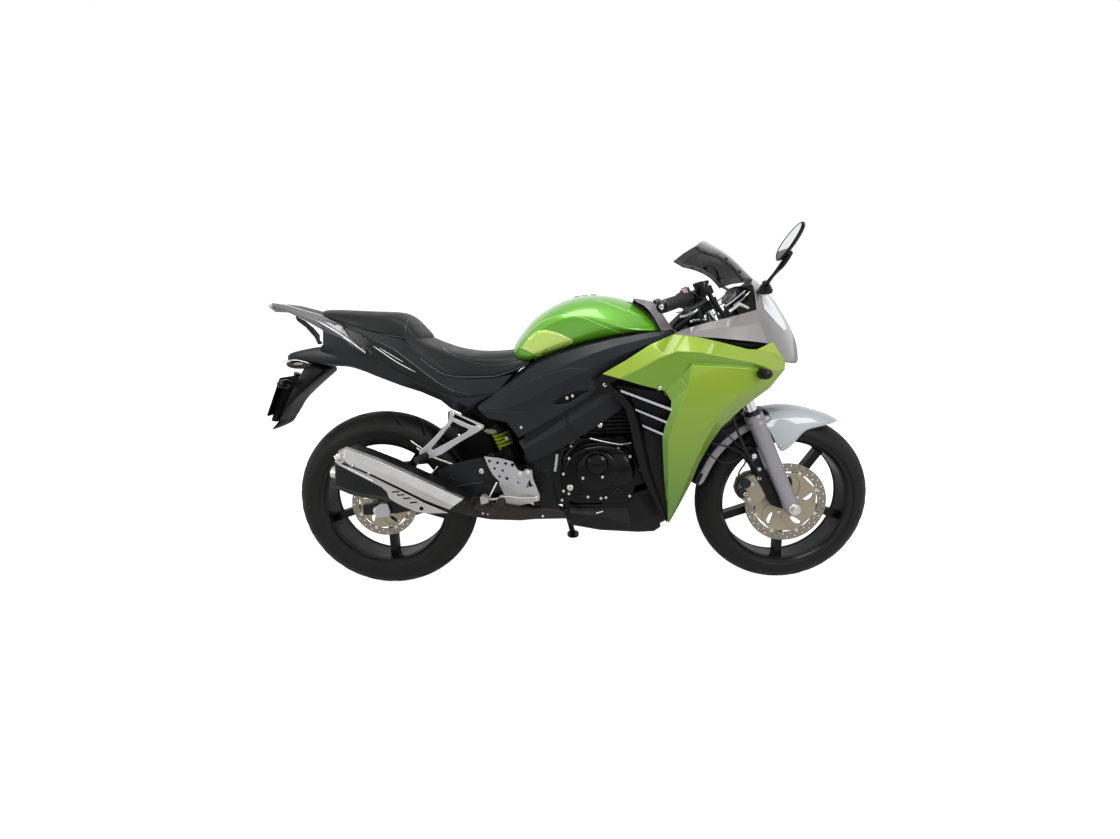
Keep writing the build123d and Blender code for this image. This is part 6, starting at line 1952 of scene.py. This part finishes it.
# %% Stays beside the instruments
cowl_stay = [(1063, -150, 987), (1075, -150, 967), (1093, -152, 940), (1113, -158, 913)]
tube("right_cowl_stay", cowl_stay, 7, satin_black)
tube("left_cowl_stay", [(x, -y, z) for x, y, z in cowl_stay], 7, satin_black)
struts = [
    [(1115, -140, 943), (1147, -120, 961), (1189, -100, 990)],
    [(1121, -168, 927), (1153, -156, 950), (1170, -152, 944), (1183, -148, 938)],
    [(1148, -120, 946), (1181, -100, 964), (1208, -90, 988)],
]
for k, line in enumerate(struts):
    tube("nose_stay_%d" % k, line, 4 if k != 1 else 5.5, chrome, both=True, straight=True)

# %% [markdown]
# **Mirrors.** Each mirror is a shallow black shell with a flat glass that faces back, on a stem
# with a rubber boot at its foot.

# %% Mirrors
long_half, short_half, tilt_up = 80, 20, radians(22)
mirror_centre = Vector((1211, -345, 1093))
long_way = Vector((0, -cos(tilt_up), sin(tilt_up)))
short_way = Vector((0.10, sin(tilt_up), cos(tilt_up))).normalized()
back_way = Vector((1, 0, -0.1)).normalized()


def oval(scale, push, count=40):
    ring = []
    for k in range(count):
        t = 2 * pi * k / count
        c, s = cos(t), sin(t)
        wide = long_half * (abs(c) ** 0.86) * (1 if c > 0 else -1)
        high = short_half * (abs(s) ** 0.82) * (1 if s > 0 else -1) * (1 - 0.22 * c)
        ring.append(mirror_centre + long_way * (wide - (1 - scale) * wide)
            + short_way * (high * scale) + back_way * push)
    return ring


shell_rings = [oval(0.9, -1), oval(0.95, -4), oval(1.0, -2), oval(1.0, 2), oval(0.94, 6),
    oval(0.78, 9), oval(0.5, 11), oval(0.16, 12)]
loft("mirror_shells", shell_rings, smooth_black, hides=["mirrors"], both=True, sharp=40)
loft("mirror_glass", [oval(0.92, -1.6), oval(0.92, -2.6)], mirror_glass, both=True)
stem = [(1231, -146, 1000), (1226, -200, 1018), (1222, -250, 1032), (1222, -292, 1048),
    (1220, -332, 1068)]
tube("mirror_stems", stem, 7, smooth_black, both=True, taper=[1.1, 0.7, 0.8, 1.3, 1.0])
turned("mirror_boots", Vector((1235, -138, 986)), (-0.1, -0.35, 1),
    [(-4, 0), (-4, 21), (4, 22), (6, 18), (10, 19), (12, 15), (17, 16), (19, 12), (30, 9), (30, 0)],
       hose_rubber, steps=28, both=True)
print("cockpit is on")
# %% [markdown]
# # The stage, the lamps and the camera
# A pale floor keeps the bike's shadow. Its white, and the world's, is seen by the camera and in
# gloss and glass, while the light itself stays at a plain level.

# %% Floor, world and lamps
FLOOR_REACH, FLOOR_GLOW, WORLD_LIGHT = 14, 0.8, 0.38


def seen_by_camera(tree):
    """One where the camera, a reflection or a clear part looks, zero for plain light."""
    path = add_node(tree, "ShaderNodeLightPath")
    both = add_node(tree, "ShaderNodeMath", {0: path.outputs["Is Camera Ray"],
        1: path.outputs["Is Glossy Ray"]},
                    operation="MAXIMUM")
    return add_node(tree, "ShaderNodeMath", {0: both.outputs[0],
        1: path.outputs["Is Transmission Ray"]},
                    operation="MAXIMUM").outputs[0]


floor_paint = bpy.data.materials.new("pale studio floor")
floor_paint.use_nodes = True
tree = floor_paint.node_tree
tree.nodes.clear()
dull = add_node(tree, "ShaderNodeBsdfDiffuse", {"Color": (0.9, 0.9, 0.9, 1)})
path = add_node(tree, "ShaderNodeLightPath")
level = add_node(tree, "ShaderNodeMath", {0: path.outputs["Is Camera Ray"], 1: FLOOR_GLOW},
    operation="MULTIPLY")
glow = add_node(tree, "ShaderNodeEmission", {"Color": (1, 1, 1, 1), "Strength": level.outputs[0]})
total = add_node(tree, "ShaderNodeAddShader", {0: dull.outputs[0], 1: glow.outputs[0]})
add_node(tree, "ShaderNodeOutputMaterial", {"Surface": total.outputs[0]})

floor_mesh = bpy.data.meshes.new("studio_floor")
floor_mesh.from_pydata([(x * FLOOR_REACH, y * FLOOR_REACH, 0)
    for x, y in ((-1, -1), (1, -1), (1, 1), (-1, 1))], [], [(0, 1, 2, 3)])
floor = bpy.data.objects.new("studio_floor", floor_mesh)
floor_mesh.materials.append(floor_paint)
bpy.context.collection.objects.link(floor)

world = bpy.data.worlds.new("studio")
bpy.context.scene.world = world
world.use_nodes = True
tree = world.node_tree
tree.nodes.clear()
strength = add_node(tree, "ShaderNodeMapRange", {"Value": seen_by_camera(tree),
    "To Min": WORLD_LIGHT, "To Max": 1.0})
sky = add_node(tree, "ShaderNodeBackground", {"Color": (1, 1, 1, 1),
    "Strength": strength.outputs[0]})
add_node(tree, "ShaderNodeOutputWorld", {"Surface": sky.outputs[0]})


def softbox(name, where, aim, size, power):
    """A square area lamp that looks at a point."""
    lamp = bpy.data.lights.new(name, "AREA")
    lamp.shape, lamp.size, lamp.energy = "SQUARE", size, power
    thing = bpy.data.objects.new(name, lamp)
    thing.location = where
    thing.rotation_euler = (Vector(aim) - Vector(where)).to_track_quat("-Z", "Y").to_euler()
    bpy.context.collection.objects.link(thing)


softbox("ceiling_panel", (0.2, -0.9, 3.2), (0, 0, 0.5), size=1.7, power=50)
softbox("front_panel", (2.4, -3.0, 2.2), (0.1, 0, 0.6), size=1.3, power=44)
softbox("rear_panel", (-2.6, -2.4, 1.8), (-0.2, 0, 0.5), size=1.2, power=26)

# %% [markdown]
# The photo was taken from about 1.7 m away with a wide lens, so the near side looms a little. The
# camera's place, turn and lens were fitted to the two wheels.

# %% Camera
yaw, pitch, roll, focal_px, image_width = 0.02653, -0.18251, 0.02647, 491.1, 1120
lens = bpy.data.cameras.new("photo_camera")
lens.sensor_width, lens.lens = 36, focal_px / image_width * 36
camera = bpy.data.objects.new("photo_camera", lens)
turn = Matrix.Rotation(yaw, 3, "Z") @ Matrix.Rotation(pitch, 3, "X") @ Matrix.Rotation(roll, 3, "Y")
right, ahead, above = (parked.to_3x3() @ turn.col[i] for i in range(3))
facing = Matrix((right.normalized(), above.normalized(), -ahead.normalized())).transposed()
camera.matrix_world = Matrix.Translation(parked @ Vector((654.27, -1659.37,
    891.54))) @ facing.to_4x4()
bpy.context.collection.objects.link(camera)
bpy.context.scene.camera = camera
bpy.context.scene.view_settings.view_transform = "Standard"
print("camera at", tuple(round(v, 3) for v in camera.matrix_world.translation))
